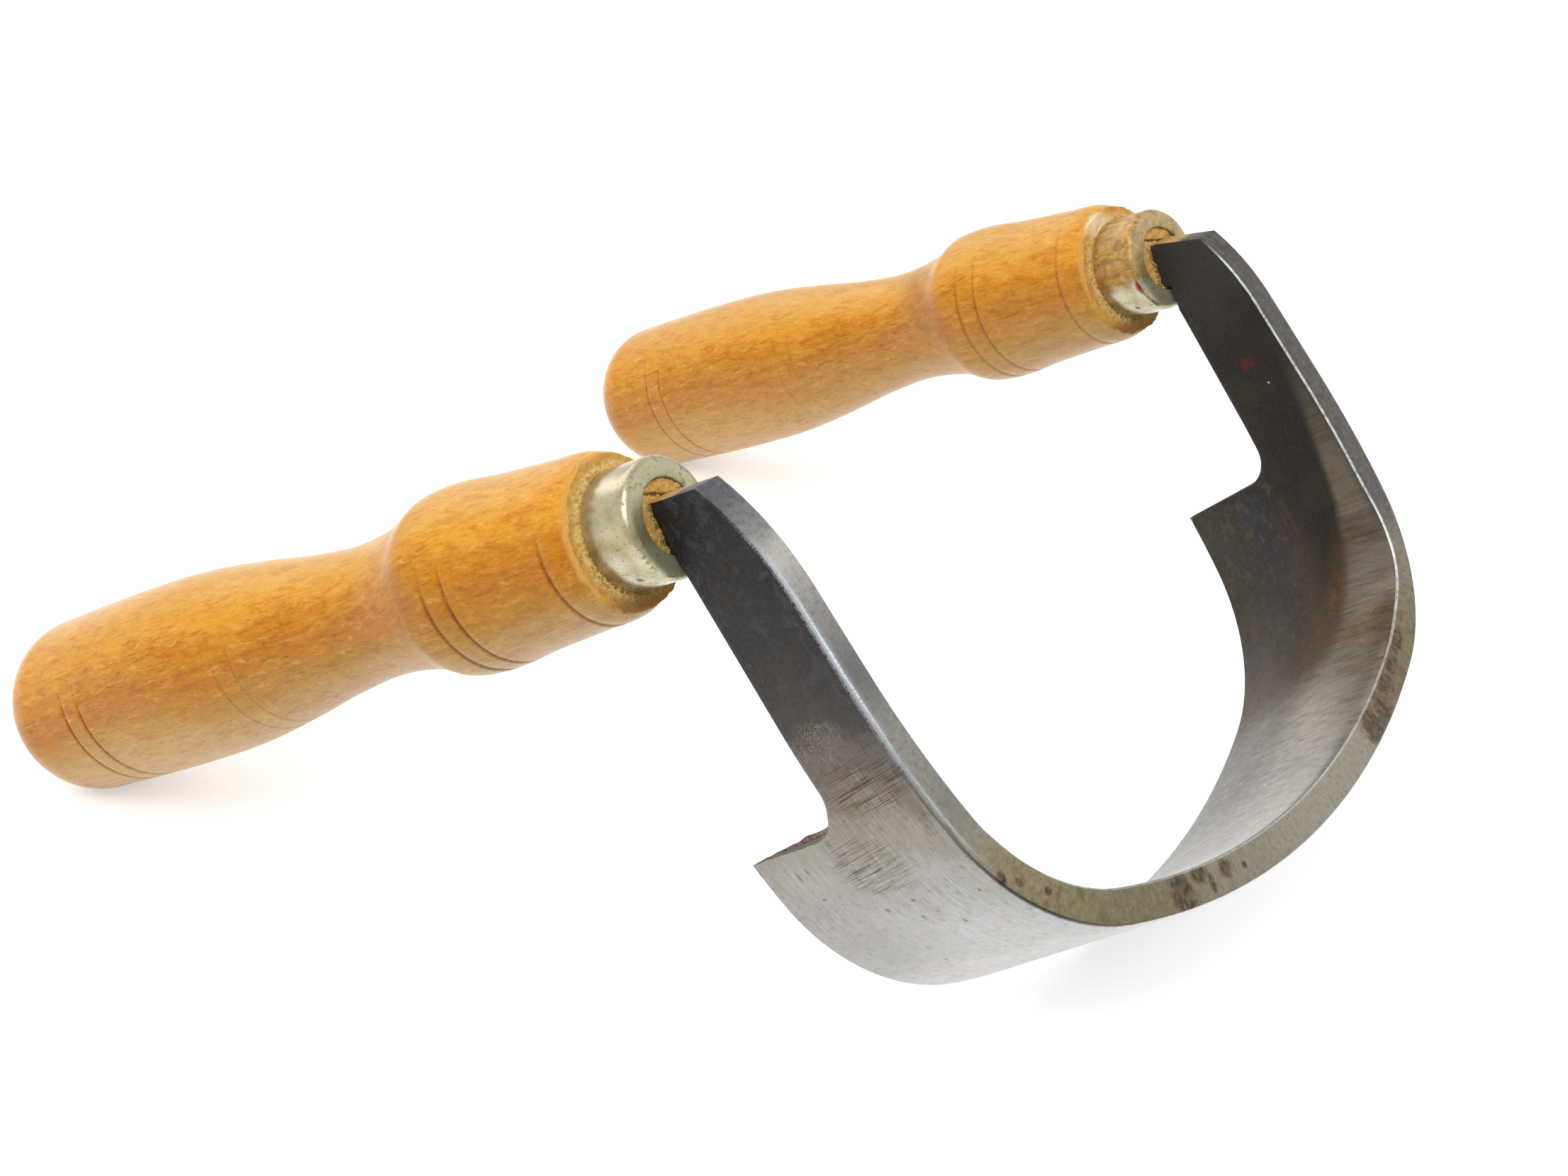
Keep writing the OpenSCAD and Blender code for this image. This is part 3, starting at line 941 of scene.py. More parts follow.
        light = g.tint(g.math("MULTIPLY", g.math("MULTIPLY", g.rise(y, 14.0, 26.0), g.rise(up, 47.0, 33.0)),
                              g.rise(up, 2.0, 20.0)), light, (0.60, 0.60, 0.57))
        brown = g.math("MULTIPLY", g.band(up, 47.0, 15.0), g.rise(g.math("ADD", y, g.centred(grain.cloud, 6.0)), 8.0, 3.0))
        light = g.tint(brown, light, (0.90, 0.86, 0.83))
        light = g.tint(g.math("MULTIPLY", g.rise(grain.across, 0.48, 0.64), 0.5), light, (0.76, 0.73, 0.70))
        far = g.math("MULTIPLY", g.rise(grain.across, 0.52, 0.66), g.rise(y, 8.0, 22.0))
        light = g.tint(g.math("MULTIPLY", far, 0.75), light, (0.74, 0.71, 0.66))
        brush = g.noise(g.scale(g.turn(run, 14.0), (0.9, 0.17, 1.0)), 1.0, 5.0, 0.66)
        low = g.rise(up, 74.0, 48.0)
        light = g.tint(g.math("MULTIPLY", g.rise(brush, 0.50, 0.64), low), light, (0.86, 0.86, 0.84))
        light = g.mix(g.math("MULTIPLY", g.math("MULTIPLY", g.rise(brush, 0.48, 0.34), low), 0.14), light, (0.76, 0.75, 0.72))
        clear = g.math("MULTIPLY", g.rise(grain.across, 0.48, 0.34), g.rise(up, 96.0, 70.0))
        light = g.mix(g.math("MULTIPLY", clear, 0.13), light, (0.68, 0.67, 0.64))
        light = g.tint(g.math("MULTIPLY", g.rise(grain.fine, 0.50, 0.66), 0.3), light, (0.80, 0.78, 0.76))
        colour = g.mix(ground, dark, light)
        halo = g.math("MULTIPLY", g.band(over, 2.5, 15.0), g.band(up, 65.0, 24.0))
        colour = g.mix(g.math("MULTIPLY", halo, 0.4), colour, self.halo)
        stain = g.math("MULTIPLY", g.band(over, 7.5, 11.5), g.band(up, 65.0, 15.0))
        stain = g.math("MULTIPLY", stain, g.rise(g.noise(run, 0.42, 6.0, 0.7), 0.42, 0.60))
        colour = g.mix(g.math("MULTIPLY", stain, 0.8), colour, (0.36, 0.25, 0.145))
        mark = g.spot(run, (114.5, 7.75, 5.0), (1.4, 2.2, 4.0), grain.grain, 1.0)
        mark = g.math("MULTIPLY", mark, g.rise(grain.fine, 0.40, 0.56))
        colour = g.mix(g.math("MULTIPLY", mark, 0.5), colour, self.red)
        dot = g.spot(run, (109.75, 6.3, 5.0), (0.25, 0.25, 4.0))
        return g.mix(g.math("MULTIPLY", dot, 0.7), colour, self.white), ground

    def _spine(self, g: Graph, run: Socket, grain: Grain) -> Socket:
        """Spine: tarnish that changes along the bar, with two patches of rust."""
        s, y, depth = g.split(run)
        shifted = g.math("ADD", s, g.centred(grain.cloud, 8.0))
        colour = g.ramp(shifted, self.spine_run)
        fleck = g.noise(g.scale(run, (1.0, 1.0, 0.7)), 1.1, 6.0, 0.74)
        colour = g.tint(g.math("MULTIPLY", g.rise(fleck, 0.44, 0.68), 0.5), colour, (0.72, 0.69, 0.62))
        colour = g.mix(g.math("MULTIPLY", g.rise(fleck, 0.50, 0.28), 0.26), colour, (0.60, 0.59, 0.55))
        colour = g.tint(g.math("MULTIPLY", g.rise(grain.fine, 0.48, 0.62), 0.5), colour, (0.86, 0.84, 0.80))
        mottle = g.noise(run, 0.42, 5.0, 0.7)
        tarnished = g.math("MULTIPLY", g.rise(mottle, 0.50, 0.62), g.math("MAXIMUM", g.rise(s, 22.0, 34.0), g.band(s, -62.0, 26.0)))
        colour = g.tint(g.math("MULTIPLY", tarnished, 0.7), colour, (0.83, 0.79, 0.66))
        sooty = g.math("MULTIPLY", g.rise(shifted, 74.0, 84.0), g.rise(grain.grain, 0.42, 0.62))
        colour = g.mix(g.math("MULTIPLY", sooty, 0.4), colour, (0.42, 0.38, 0.34))
        blue = g.math("MAXIMUM", g.band(shifted, -109.0, 9.0), g.math("MULTIPLY", g.band(shifted, -86.0, 7.0), 0.4))
        colour = g.mix(g.math("MULTIPLY", blue, 0.6), colour, (0.32, 0.33, 0.335))
        # Rust: two ragged patches, and blots beside them
        ragged = g.noise(g.scale(run, (1.0, 1.0, 0.8)), 0.75, 6.0, 0.75)
        rust = g.rise(g.math("ADD", ragged, g.math("MULTIPLY", g.band(s, -50.0, 38.0), 0.06)), 0.66, 0.72)
        for at, deep, half_run, half_depth in self.blots:
            blot = g.spot(run, (at, 0.0, deep), (half_run, 9.0, half_depth), ragged, 0.55)
            rust = g.math("MAXIMUM", rust, blot)
        brown = g.mix(g.rise(fleck, 0.38, 0.60), (0.40, 0.33, 0.25), self.rust)
        colour = g.mix(g.math("MULTIPLY", rust, 0.92), colour, brown)
        # Painted highlight: a bright line where the worn corner of the right arm meets the spine, over a lighter worn
        # bevel
        gleam = g.math("MULTIPLY", g.band(g.math("ADD", depth, g.centred(grain.cloud, 0.8)), 1.2, 0.4), g.rise(grain.fine, 0.32, 0.54))
        gleam = g.math("ADD", g.math("MULTIPLY", gleam, 0.7), g.math("MULTIPLY", g.rise(depth, 2.6, 0.4), 0.3))
        gleam = g.math("MULTIPLY", gleam, g.math("MAXIMUM", g.band(s, -111.0, 24.0), g.math("MULTIPLY", g.band(s, -88.0, 15.0), 0.4)))
        colour = g.mix(gleam, colour, self.white)
        # Wood dust on the top of the tang
        back = g.math("ADD", y, g.math("ADD", g.centred(grain.grain, 4.0), g.math("MULTIPLY", g.rise(s, -1.0, 1.0), 2.4)))
        dusty = g.math("MULTIPLY", g.rise(back, 8.0, 10.5), 0.85)
        return g.mix(dusty, colour, self.dust)

    def build(self, tool: Matrix) -> bpy.types.Material:
        """Make the material.

        Args:
            tool: The tool's frame, without its scale.

        Returns:
            The material.
        """
        g = Graph("blade_steel")
        p = g.place(tool)
        run = g.attribute("run")
        spine, worn, inside = g.split(g.attribute("zone"))
        torn, share, _ = g.split(g.attribute("break"))
        tilted = g.turn(run, 8.0)
        grain = Grain(
            cloud=g.noise(p, 0.10, 5.0, 0.6),
            grain=g.noise(p, 0.9, 5.0, 0.65),
            fine=g.noise(p, 3.2, 3.0, 0.6),
            along=g.noise(g.scale(run, (0.10, 2.6, 1.0)), 1.0, 6.0, 0.72),
            across=g.noise(g.scale(tilted, (1.7, 0.11, 1.0)), 1.0, 6.0, 0.7),
        )
        outer, outer_ground = self._outer(g, run, grain)
        inner, inner_ground = self._inner(g, run, grain)
        inside = g.rise(inside, 0.45, 0.55)
        colour = g.mix(inside, outer, inner)
        ground = g.blend(inside, outer_ground, inner_ground)

        back = g.rise(g.math("ADD", spine, g.centred(grain.fine, 0.25)), 0.40, 0.60)
        colour = g.mix(back, colour, self._spine(g, run, grain))
        s, _, _ = g.split(run)
        up = g.math("ABSOLUTE", s)
        broken_up = g.rise(g.math("ADD", grain.fine, g.centred(grain.grain, 0.5)), 0.34, 0.56)
        outer_rub = g.math("MULTIPLY", g.math("MULTIPLY", g.rise(up, 88.0, 97.0), broken_up), 0.55)
        inner_rub_and_highlight = g.math("ADD", 0.38, g.math("MULTIPLY", g.rise(up, 46.0, 66.0), 0.36))
        inner_rub_and_highlight = g.math("MULTIPLY", inner_rub_and_highlight, g.math("ADD", 0.5, g.math("MULTIPLY", g.rise(grain.grain, 0.34, 0.56), 0.6)))
        rubbed = g.math("MULTIPLY", g.rise(worn, 0.35, 0.9), g.blend(inside, outer_rub, inner_rub_and_highlight))
        rubbed = g.math("MULTIPLY", rubbed, g.rise(up, 138.0, 130.0))
        # Worn corners: grey-blue bare steel outside, and inside a near-white line that is partly bare steel and partly
        # a painted highlight
        colour = g.mix(rubbed, colour, g.mix(inside, (0.56, 0.58, 0.61), (0.82, 0.84, 0.84)))
        # Painted shade: a dark line along the outer corner of the right bend
        sharp = g.math("MULTIPLY", g.rise(worn, 0.35, 0.9), g.math("SUBTRACT", 1.0, inside))
        sharp = g.math("MULTIPLY", sharp, g.band(s, -68.0, 30.0))
        colour = g.tint(g.math("MULTIPLY", sharp, 0.9), colour, (0.42, 0.42, 0.41))

        # Torn end of the right shoulder: a land, a crack and a rough brown part
        split = g.math("ADD", share, g.centred(grain.grain, 0.14))
        land = g.mix(g.rise(grain.fine, 0.35, 0.65), (0.29, 0.29, 0.25), (0.44, 0.43, 0.385))
        rough_part = g.mix(g.rise(grain.fine, 0.38, 0.62), (0.34, 0.25, 0.23), (0.56, 0.46, 0.43))
        broken = g.mix(g.rise(split, 0.36, 0.46), land, rough_part)
        broken = g.mix(g.math("MULTIPLY", g.band(split, 0.41, 0.10), 0.9), broken, (0.08, 0.06, 0.05))
        colour = g.mix(g.rise(torn, 0.15, 0.5), colour, broken)

        bare = g.math("MAXIMUM", g.math("MULTIPLY", ground, g.math("SUBTRACT", 1.0, back)), rubbed)
        bare = g.math("MULTIPLY", bare, g.rise(torn, 0.5, 0.15))
        metal = g.math("ADD", 0.08, g.math("ADD", g.math("MULTIPLY", back, 0.35), g.math("MULTIPLY", bare, 0.8)), clamp=True)
        rough = g.math("ADD", g.math("SUBTRACT", 0.52, g.math("MULTIPLY", bare, 0.22)), g.centred(grain.grain, 0.3), clamp=True)
        scratches = g.blend(inside, grain.along, grain.across)
        normal = g.bump(scratches, 0.2, 0.02)
        normal = g.bump(grain.grain, 0.4, 0.08, normal)
        normal = g.bump(grain.fine, 0.2, 0.02, normal)
        return g.finish(colour, rough, metal, normal, specular=0.22)


@dataclass(frozen=True)
class WoodFinish:
    """Finish of a handle: amber turned wood with fine flecks, its colour round the handle partly painted light.

    Attributes:
        smudge: Strength of the dirty smudge behind the swelling.
        smudge_at: Its distance from the front of the wood.
        pale: How much paler the sides and the underside are, partly painted light.
        patch: Whether the front shoulder has a pale patch on top.
        ring_darkening: How much darker the scribed rings are.
        ring_top: Height over the axis, as a negative number, above which they are rubbed clean.
        marks: Small marks, each as distance from the front, angle from the top towards the
            right in degrees, half length, half width and colour.
    """

    around: tuple[tuple[float, Colour], ...] = (
        (-1.0, (0.865, 0.65, 0.24)), (-0.87, (0.88, 0.64, 0.20)), (-0.64, (0.875, 0.61, 0.17)),
        (-0.34, (0.80, 0.53, 0.10)), (0.0, (0.74, 0.465, 0.06)), (0.34, (0.705, 0.50, 0.14)),
        (0.64, (0.74, 0.58, 0.34)), (1.0, (0.74, 0.60, 0.40)),
    )
    sand: Colour = (0.86, 0.69, 0.39)
    crumbs: Colour = (0.94, 0.82, 0.55)
    dark: Colour = (0.42, 0.28, 0.11)
    moss: Colour = (0.38, 0.34, 0.12)
    smudge: float = 0.5
    smudge_at: float = 34.0
    pale: float = 0.0
    patch: bool = False
    ring_darkening: float = 0.9
    ring_top: float = -6.0
    marks: tuple[tuple[float, float, float, float, Colour], ...] = ()

    def _grain(self, g: Graph, p: Socket) -> Socket:
        """Colour of the turned surface, paler on top and greyer underneath, partly the wood's own tone and partly
        painted light and shade.
        """
        cloud = g.noise(g.scale(p, (1.0, 1.0, 0.5)), 0.11, 4.0, 0.6, 0.3)
        streak = g.noise(g.scale(p, (1.0, 1.0, 0.28)), 0.85, 6.0, 0.72, 0.5)
        fleck = g.noise(g.scale(p, (1.0, 1.0, 0.2)), 2.1, 4.0, 0.65, 0.3)
        pore = g.noise(g.scale(p, (1.0, 1.0, 0.25)), 3.4, 3.0, 0.6)
        fibre = g.noise(g.scale(p, (1.0, 1.0, 0.05)), 3.4, 4.0, 0.7)
        turned = g.noise(g.scale(p, (0.10, 0.10, 1.0)), 2.2, 3.0, 0.6)
        _, side, _ = g.around(p)
        _, _, z = g.split(p)
        down = g.math("ADD", side, g.math("ADD", g.centred(cloud, 0.7), g.centred(streak, 0.5)))
        # Colour round the handle, partly painted light: lighter on top, deeper amber on the sides, greyer tan in the
        # shade underneath
        colour = g.ramp(down, self.around)
        # Painted light: the underside of the butt is paler, as if lit from the floor below
        butt = g.math("MULTIPLY", g.rise(z, 60.0, 120.0), g.rise(down, -0.1, 0.6))
        colour = g.mix(g.math("MULTIPLY", butt, 0.4), colour, (0.88, 0.73, 0.50))
        # Paler sides and underside, partly painted light
        colour = g.mix(g.math("MULTIPLY", g.rise(side, -0.6, 0.6), self.pale), colour, (0.90, 0.72, 0.44))
        colour = g.tint(g.math("MULTIPLY", g.rise(streak, 0.48, 0.66), 0.55), colour, (0.88, 0.745, 0.46))
        colour = g.mix(g.math("MULTIPLY", g.rise(streak, 0.47, 0.30), 0.35), colour, (0.94, 0.78, 0.46))
        flecks = g.math("MULTIPLY", g.rise(fleck, 0.50, 0.64), g.rise(cloud, 0.36, 0.60))
        colour = g.tint(g.math("MULTIPLY", flecks, 0.55), colour, (0.86, 0.73, 0.44))
        marks = g.math("MULTIPLY", g.rise(side, 0.2, 0.8), g.rise(turned, 0.55, 0.66))
        colour = g.mix(g.math("MULTIPLY", marks, 0.25), colour, (0.84, 0.72, 0.52))
        colour = g.tint(g.math("MULTIPLY", g.rise(fibre, 0.50, 0.66), 0.4), colour, (0.86, 0.74, 0.56))
        colour = g.tint(g.math("MULTIPLY", g.rise(pore, 0.57, 0.68), 0.5), colour, (0.84, 0.68, 0.42))
        return g.mix(g.math("MULTIPLY", g.rise(pore, 0.42, 0.30), 0.15), colour, (0.94, 0.80, 0.50))

    def build(self, name: str, handle: Matrix, wood_front: float, sizes: HandleSizes) -> bpy.types.Material:
        """Make the material.

        Args:
            name: Its name.
            handle: The handle's frame in the part's frame, without a scale.
            wood_front: Distance of the wood's shoulder from the ferrule's mouth.
            sizes: Sizes of the turned wood.

        Returns:
            The material.
        """
        g = Graph(name)
        p = g.place(handle)
        x, y, z = g.split(p)
        w = g.math("SUBTRACT", z, wood_front)
        cloud = g.noise(p, 0.16, 4.0, 0.6)
        crumb = g.noise(p, 2.1, 5.0, 0.7)
        colour = self._grain(g, p)

        # The scribed rings are darker underneath, and are rubbed clean on top
        lower = g.rise(g.math("ADD", y, g.centred(cloud, 7.0)), self.ring_top, self.ring_top + 8.0)
        lower = g.math("MULTIPLY", lower, g.rise(crumb, 0.30, 0.50))
        ragged = g.math("ADD", w, g.centred(crumb, 0.35))
        for ring, depth in sizes.rings:
            share = g.math("MULTIPLY", g.math("MULTIPLY", g.band(ragged, ring, 0.5), lower), min(1.0, depth * 3.0) * self.ring_darkening)
            colour = g.tint(share, colour, (0.52, 0.36, 0.16))

        # A smudge runs slantwise over the step behind the swelling
        slant = g.math("ADD", w, g.math("MULTIPLY", y, 0.55))
        dirt = g.math("MULTIPLY", g.band(slant, self.smudge_at, 9.0), g.rise(y, 6.0, -2.0))
        dirt = g.math("MULTIPLY", dirt, g.rise(cloud, 0.30, 0.55))
        colour = g.mix(g.math("MULTIPLY", dirt, self.smudge), colour, (0.56, 0.39, 0.23))
        for along, angle, half_length, half_width, mark_colour in self.marks:
            turn = math.radians(angle)
            radius = sizes.radius(along)
            place = (-radius * math.sin(turn), -radius * math.cos(turn), wood_front + along)
            spot = g.spot(p, place, (half_width, half_width, half_length), crumb, 0.5)
            colour = g.mix(g.math("MULTIPLY", spot, 0.7), colour, mark_colour)

        # Raw front shoulder, and the raw end grain in the ferrule's mouth
        _, _, radius = g.around(p)
        reach = g.math("ADD", w, g.math("ADD", g.centred(crumb, 1.2), g.centred(cloud, 2.0)))
        torn = g.rise(reach, 1.3, 0.7)
        raw = g.mix(g.rise(crumb, 0.36, 0.56), (0.76, 0.57, 0.27), self.sand)
        raw = g.mix(g.math("MULTIPLY", g.rise(crumb, 0.54, 0.66), 0.8), raw, self.crumbs)
        outside = g.math("MULTIPLY", g.rise(g.math("ADD", radius, g.centred(cloud, 2.0)), 10.2, 11.4), 0.65)
        raw = g.mix(outside, raw, (0.83, 0.60, 0.25))
        inside = g.math("MULTIPLY", g.band(radius, 9.7, 1.0), g.math("MULTIPLY", g.rise(z, 5.0, 7.0), g.rise(crumb, 0.42, 0.54)))
        raw = g.mix(g.math("MULTIPLY", inside, 0.8), raw, self.crumbs)
        close = g.math("MULTIPLY", g.math("MULTIPLY", g.rise(radius, 10.0, 9.3), g.rise(z, 5.0, 7.0)), g.rise(y, -3.0, 3.0))
        raw = g.mix(g.math("MULTIPLY", g.math("MULTIPLY", close, g.rise(crumb, 0.50, 0.42)), 0.7), raw, self.moss)
        # The lower side of the torn shoulder is darker brown
        lower_darkening = g.rise(g.math("ADD", y, g.centred(cloud, 7.0)), 7.0, 10.5)
        raw = g.mix(g.math("MULTIPLY", lower_darkening, 0.75), raw, self.dark)
        if self.patch:
            bare = g.spot(p, (-3.0, -9.6, wood_front), (4.5, 2.6, 3.0), crumb, 0.4)
            raw = g.mix(g.math("MULTIPLY", bare, 0.9), raw, (0.95, 0.86, 0.70))
        mouth = g.rise(z, 3.0, 1.0)
        beside = g.rise(g.math("ADD", x, g.centred(crumb, 2.4)), -4.0, -3.0)
        beside = g.math("MULTIPLY", g.math("MULTIPLY", beside, mouth), g.rise(crumb, 0.56, 0.46))
        raw = g.mix(g.math("MULTIPLY", g.math("MULTIPLY", beside, g.rise(y, -3.4, -2.6)), 0.8), raw, (0.30, 0.27, 0.11))
        # Painted shade: a dark line in the crack just above the tang, on the end grain in the mouth
        slope = g.math("ADD", g.math("ADD", y, g.math("MULTIPLY", x, -0.3)), g.centred(crumb, 1.6))
        crack = g.math("MULTIPLY", g.band(slope, -3.5, 0.4), mouth)
        raw = g.mix(g.math("MULTIPLY", crack, 0.9), raw, (0.10, 0.07, 0.04))
        colour = g.mix(torn, colour, raw)

        rough = g.math("ADD", g.math("ADD", 0.25, g.math("MULTIPLY", g.rise(crumb, 0.3, 0.7), 0.10)),
                       g.math("MULTIPLY", torn, 0.5), clamp=True)
        fibre = g.noise(g.scale(p, (1.0, 1.0, 0.09)), 2.4, 4.0, 0.65)
        normal = g.bump(fibre, 0.2, 0.04)
        normal = g.bump(g.math("MULTIPLY", crumb, torn), 0.6, 0.25, normal)
        return g.finish(colour, rough, 0.0, normal, specular=0.2)


@dataclass(frozen=True)
class FerruleFinish:
    """Finish of a ferrule: satin steel with specks of rust and a tarnished rim.

    Attributes:
        patina: How much of the ferrule an amber patina covers, from 0 to 1.
    """

    patina: float = 0.1
    steel: Colour = (0.74, 0.72, 0.62)
    dull: Colour = (0.62, 0.59, 0.47)
    olive: Colour = (0.50, 0.45, 0.18)
    grey: Colour = (0.60, 0.60, 0.48)
    amber: Colour = (0.80, 0.61, 0.26)
    pale: Colour = (0.86, 0.78, 0.56)
    brown: Colour = (0.58, 0.42, 0.19)
    red: Colour = (0.55, 0.13, 0.08)
    red_mark: bool = False

    def build(self, name: str, handle: Matrix, sizes: FerruleSizes) -> bpy.types.Material:
        """Make the material.

        Args:
            name: Its name.
            handle: The handle's frame in the part's frame, without a scale.
            sizes: Sizes of the ferrule.

        Returns:
            The material.
        """
        g = Graph(name)
        p = g.place(handle)
        _, y, z = g.split(p)
        cloud = g.noise(p, 0.24, 4.0, 0.6)
        grain = g.noise(p, 1.1, 4.0, 0.6)
        streak = g.noise(g.scale(p, (1.0, 1.0, 0.5)), 0.8, 6.0, 0.7, 0.6)
        rim = g.rise(g.math("ADD", z, g.centred(grain, 0.4)), sizes.round_r * 0.5, sizes.round_r * 0.15)
        colour = g.mix(g.rise(cloud, 0.30, 0.62), self.dull, self.steel)
        # The patina covers the upper part, from a ragged line down the side
        high = g.rise(g.math("ADD", y, g.math("ADD", g.centred(cloud, 6.0), g.centred(streak, 5.0))), 2.8, 0.2)
        patina = g.math("MULTIPLY", high, self.patina)
        tone = g.mix(g.rise(streak, 0.38, 0.60), self.brown, self.amber)
        tone = g.mix(g.math("MULTIPLY", g.rise(streak, 0.58, 0.70), 0.7), tone, self.pale)
        tone = g.mix(g.math("MULTIPLY", g.rise(cloud, 0.50, 0.60), 0.4), tone, (0.55, 0.39, 0.22))
        colour = g.mix(patina, colour, tone)
        colour = g.mix(g.math("MULTIPLY", rim, 0.7 - 0.3 * self.patina), colour, self.grey)
        green = g.math("MULTIPLY", g.rise(z, sizes.round_r * 1.3, sizes.round_r * 0.4),
                       g.math("MULTIPLY", g.rise(grain, 0.53, 0.60), g.rise(cloud, 0.44, 0.56)))
        colour = g.mix(g.math("MULTIPLY", green, 0.75), colour, self.olive)
        # Painted reflection: a darker belt round the middle of the wall, where the steel mirrors darker surroundings
        belt = g.math("MULTIPLY", g.band(g.math("ADD", y, g.centred(cloud, 3.0)), 0.8, 3.4), 0.7)
        colour = g.tint(belt, colour, (0.84, 0.79, 0.68))
        speck = g.rise(g.noise(g.scale(p, (1.0, 1.0, 0.6)), 2.2, 2.0, 0.5), 0.64, 0.69)
        colour = g.mix(g.math("MULTIPLY", speck, 0.7), colour, (0.50, 0.40, 0.20))
        large = g.spot(p, (-6.3, 6.6, 4.4), (0.9, 0.8, 0.7), grain, 0.4)
        colour = g.mix(g.math("MULTIPLY", large, 0.8), colour, (0.36, 0.29, 0.20))
        if self.red_mark:
            mark = g.spot(p, (-8.4, 2.7, 0.9), (1.5, 1.7, 0.6), grain, 0.5)
            colour = g.mix(g.math("MULTIPLY", mark, 0.85), colour, self.red)
        dull = g.math("MAXIMUM", g.math("MAXIMUM", patina, speck), g.math("MAXIMUM", g.math("MULTIPLY", rim, 0.7), green))
        rough = g.math("ADD", g.math("ADD", 0.17, g.math("MULTIPLY", grain, 0.10)), g.math("MULTIPLY", dull, 0.2), clamp=True)
        metal = g.math("SUBTRACT", 0.88, g.math("MULTIPLY", dull, 0.65))
        normal = g.bump(streak, 0.2, 0.04)
        normal = g.bump(g.math("MULTIPLY", grain, dull), 0.4, 0.08, normal)
        return g.finish(colour, rough, metal, normal, specular=0.4)


@dataclass
class Blade:
    """Forged blade: the bent bar, the shouldered arms and the two tangs.

    Each half is drawn out of one section in the middle of the bottom, a station at a time. A
    section goes over the outer corner and face to the rear, back over the inner face and corner,
    and along the spine.
    """

    sizes: BladeSizes
    arms: tuple[ArmSizes, ArmSizes]
    tang: TangSizes
    finish: SteelFinish = field(default_factory=SteelFinish)
    corner_steps: int = 3
    face_steps: int = 13
    edge_steps: int = 10
    rear_steps: int = 12
    spine_steps: int = 4
    dip: float = 7.0
    dip_run: float = 55.0
    rear_round: float = 0.35
    clear: float = -0.6
    tang_depth: float = 7.4
    torn_rise: tuple[float, ...] = (0.0, 0.04, 0.08, 0.10, 0.08, -0.2, -0.05, 0.02, 0.03, 0.0, -0.08, -0.2, -0.35)
    torn_edge: tuple[Pair, ...] = ((22.3, -1.15), (24.0, -1.25), (26.3, -1.05), (31.3, -0.6), (35.0, -0.3), (38.6, -0.1))
    torn_fillet: float = 1.1
    hollow: tuple[float, float, float, float] = (70.5, 18.0, 9.0, 1.5)

    def _rounds(self, side: Side, run: float, last: float) -> tuple[Pair, Pair]:
        """Reach of the spine's outer and inner corner along the face and into the bar, at a run.

        The right arm's outer corner is worn down to a slanting facet.
        """
        worn = smooth((run - 84.0) / 12.0) * smooth((last - run) / 6.0) if side is Side.RIGHT else 0.0
        return (0.55 - 0.2 * worn, 0.6 + 0.9 * worn), (0.5, 0.5)

    def _rim(self, step: int, thickness: float, radius: float) -> tuple[float, float]:
        """Rounded rear of a section.

        Args:
            step: Step from the outer face to the inner one.
            thickness: Thickness of the section there.
            radius: Radius of both corners.

        Returns:
            Distance that the point stays back, and its depth under the outer face.
        """
        last = self.rear_steps
        middle = 1 - math.sqrt(0.5)
        near = min(step, last - step)
        back = radius * (1.0, middle)[near] if near < 2 else 0.0
        if near < 2:
            depth = radius * (0.0, middle)[near]
        else:
            depth = radius + (thickness - 2 * radius) * (near - 2) / (last - 4)
        return back, depth if step <= last / 2 else thickness - depth

    def _section(self, front: Pair, rear: Pair, rounds: tuple[Pair, Pair], rear_round: float, whole: bool
                 ) -> list[Vector]:
        """Outline of one station.

        Args:
            front: Distance of the front from the spine's plane, and its height or run.
            rear: The same for the rear of the arm's part of the section.
            rounds: Reach of the spine's outer and inner corner, along the face and into the bar.
            rear_round: Radius of the rear corners.
            whole: Whether the section goes on behind the arm's part, to the cutting edge.

        Returns:
            Distance from the spine's plane, height or run, and depth of each point.
        """
        s = self.sizes
        start, end = Vector(front), Vector(rear)
        length = (end - start).length
        ahead = (end - start) / length

        def point(along: float, depth: float, inner: bool = False) -> Vector:
            """A point of the arm's part of the section."""
            y, height = start + ahead * along
            return Vector((y, height, s.thickness(y) - depth if inner else depth))

        def corner(step: int, inner: bool) -> Vector:
            """A point of the spine's rounded corner."""
            turn = math.pi / 2 * step / self.corner_steps
            along, into = rounds[inner]
            return point(along * (1 - math.cos(turn)), into * (1 - math.sin(turn)), inner)

        def face(step: int, inner: bool) -> Vector:
            """A point of a flat side, from the corner to the rear."""
            first = rounds[inner][0]
            return point(first + (length - rear_round - first) * step / self.face_steps, 0.0, inner)

        turns, flats = range(self.corner_steps + 1), range(1, self.face_steps + 1)
        points = [corner(k, False) for k in turns] + [face(k, False) for k in flats]
        if whole:
            behind = [rear[0] + (s.depth - rear[0]) * k / self.edge_steps for k in range(1, self.edge_steps + 1)]
            points += [Vector((y, rear[1], 0.0)) for y in behind]
            points += [Vector((y, rear[1], s.thickness(y))) for y in reversed(behind)]
        else:
            for step in range(1, self.rear_steps):
                back, depth = self._rim(step, s.thickness(rear[0]), rear_round)
                points.append(point(length - back, depth))
        points += [face(k, True) for k in reversed(flats)] + [corner(k, True) for k in reversed(turns)]
        low, high = rounds[0][1], s.thickness(front[0]) - rounds[1][1]
        points += [point(0.0, high + (low - high) * k / self.spine_steps) for k in range(1, self.spine_steps)]
        return points

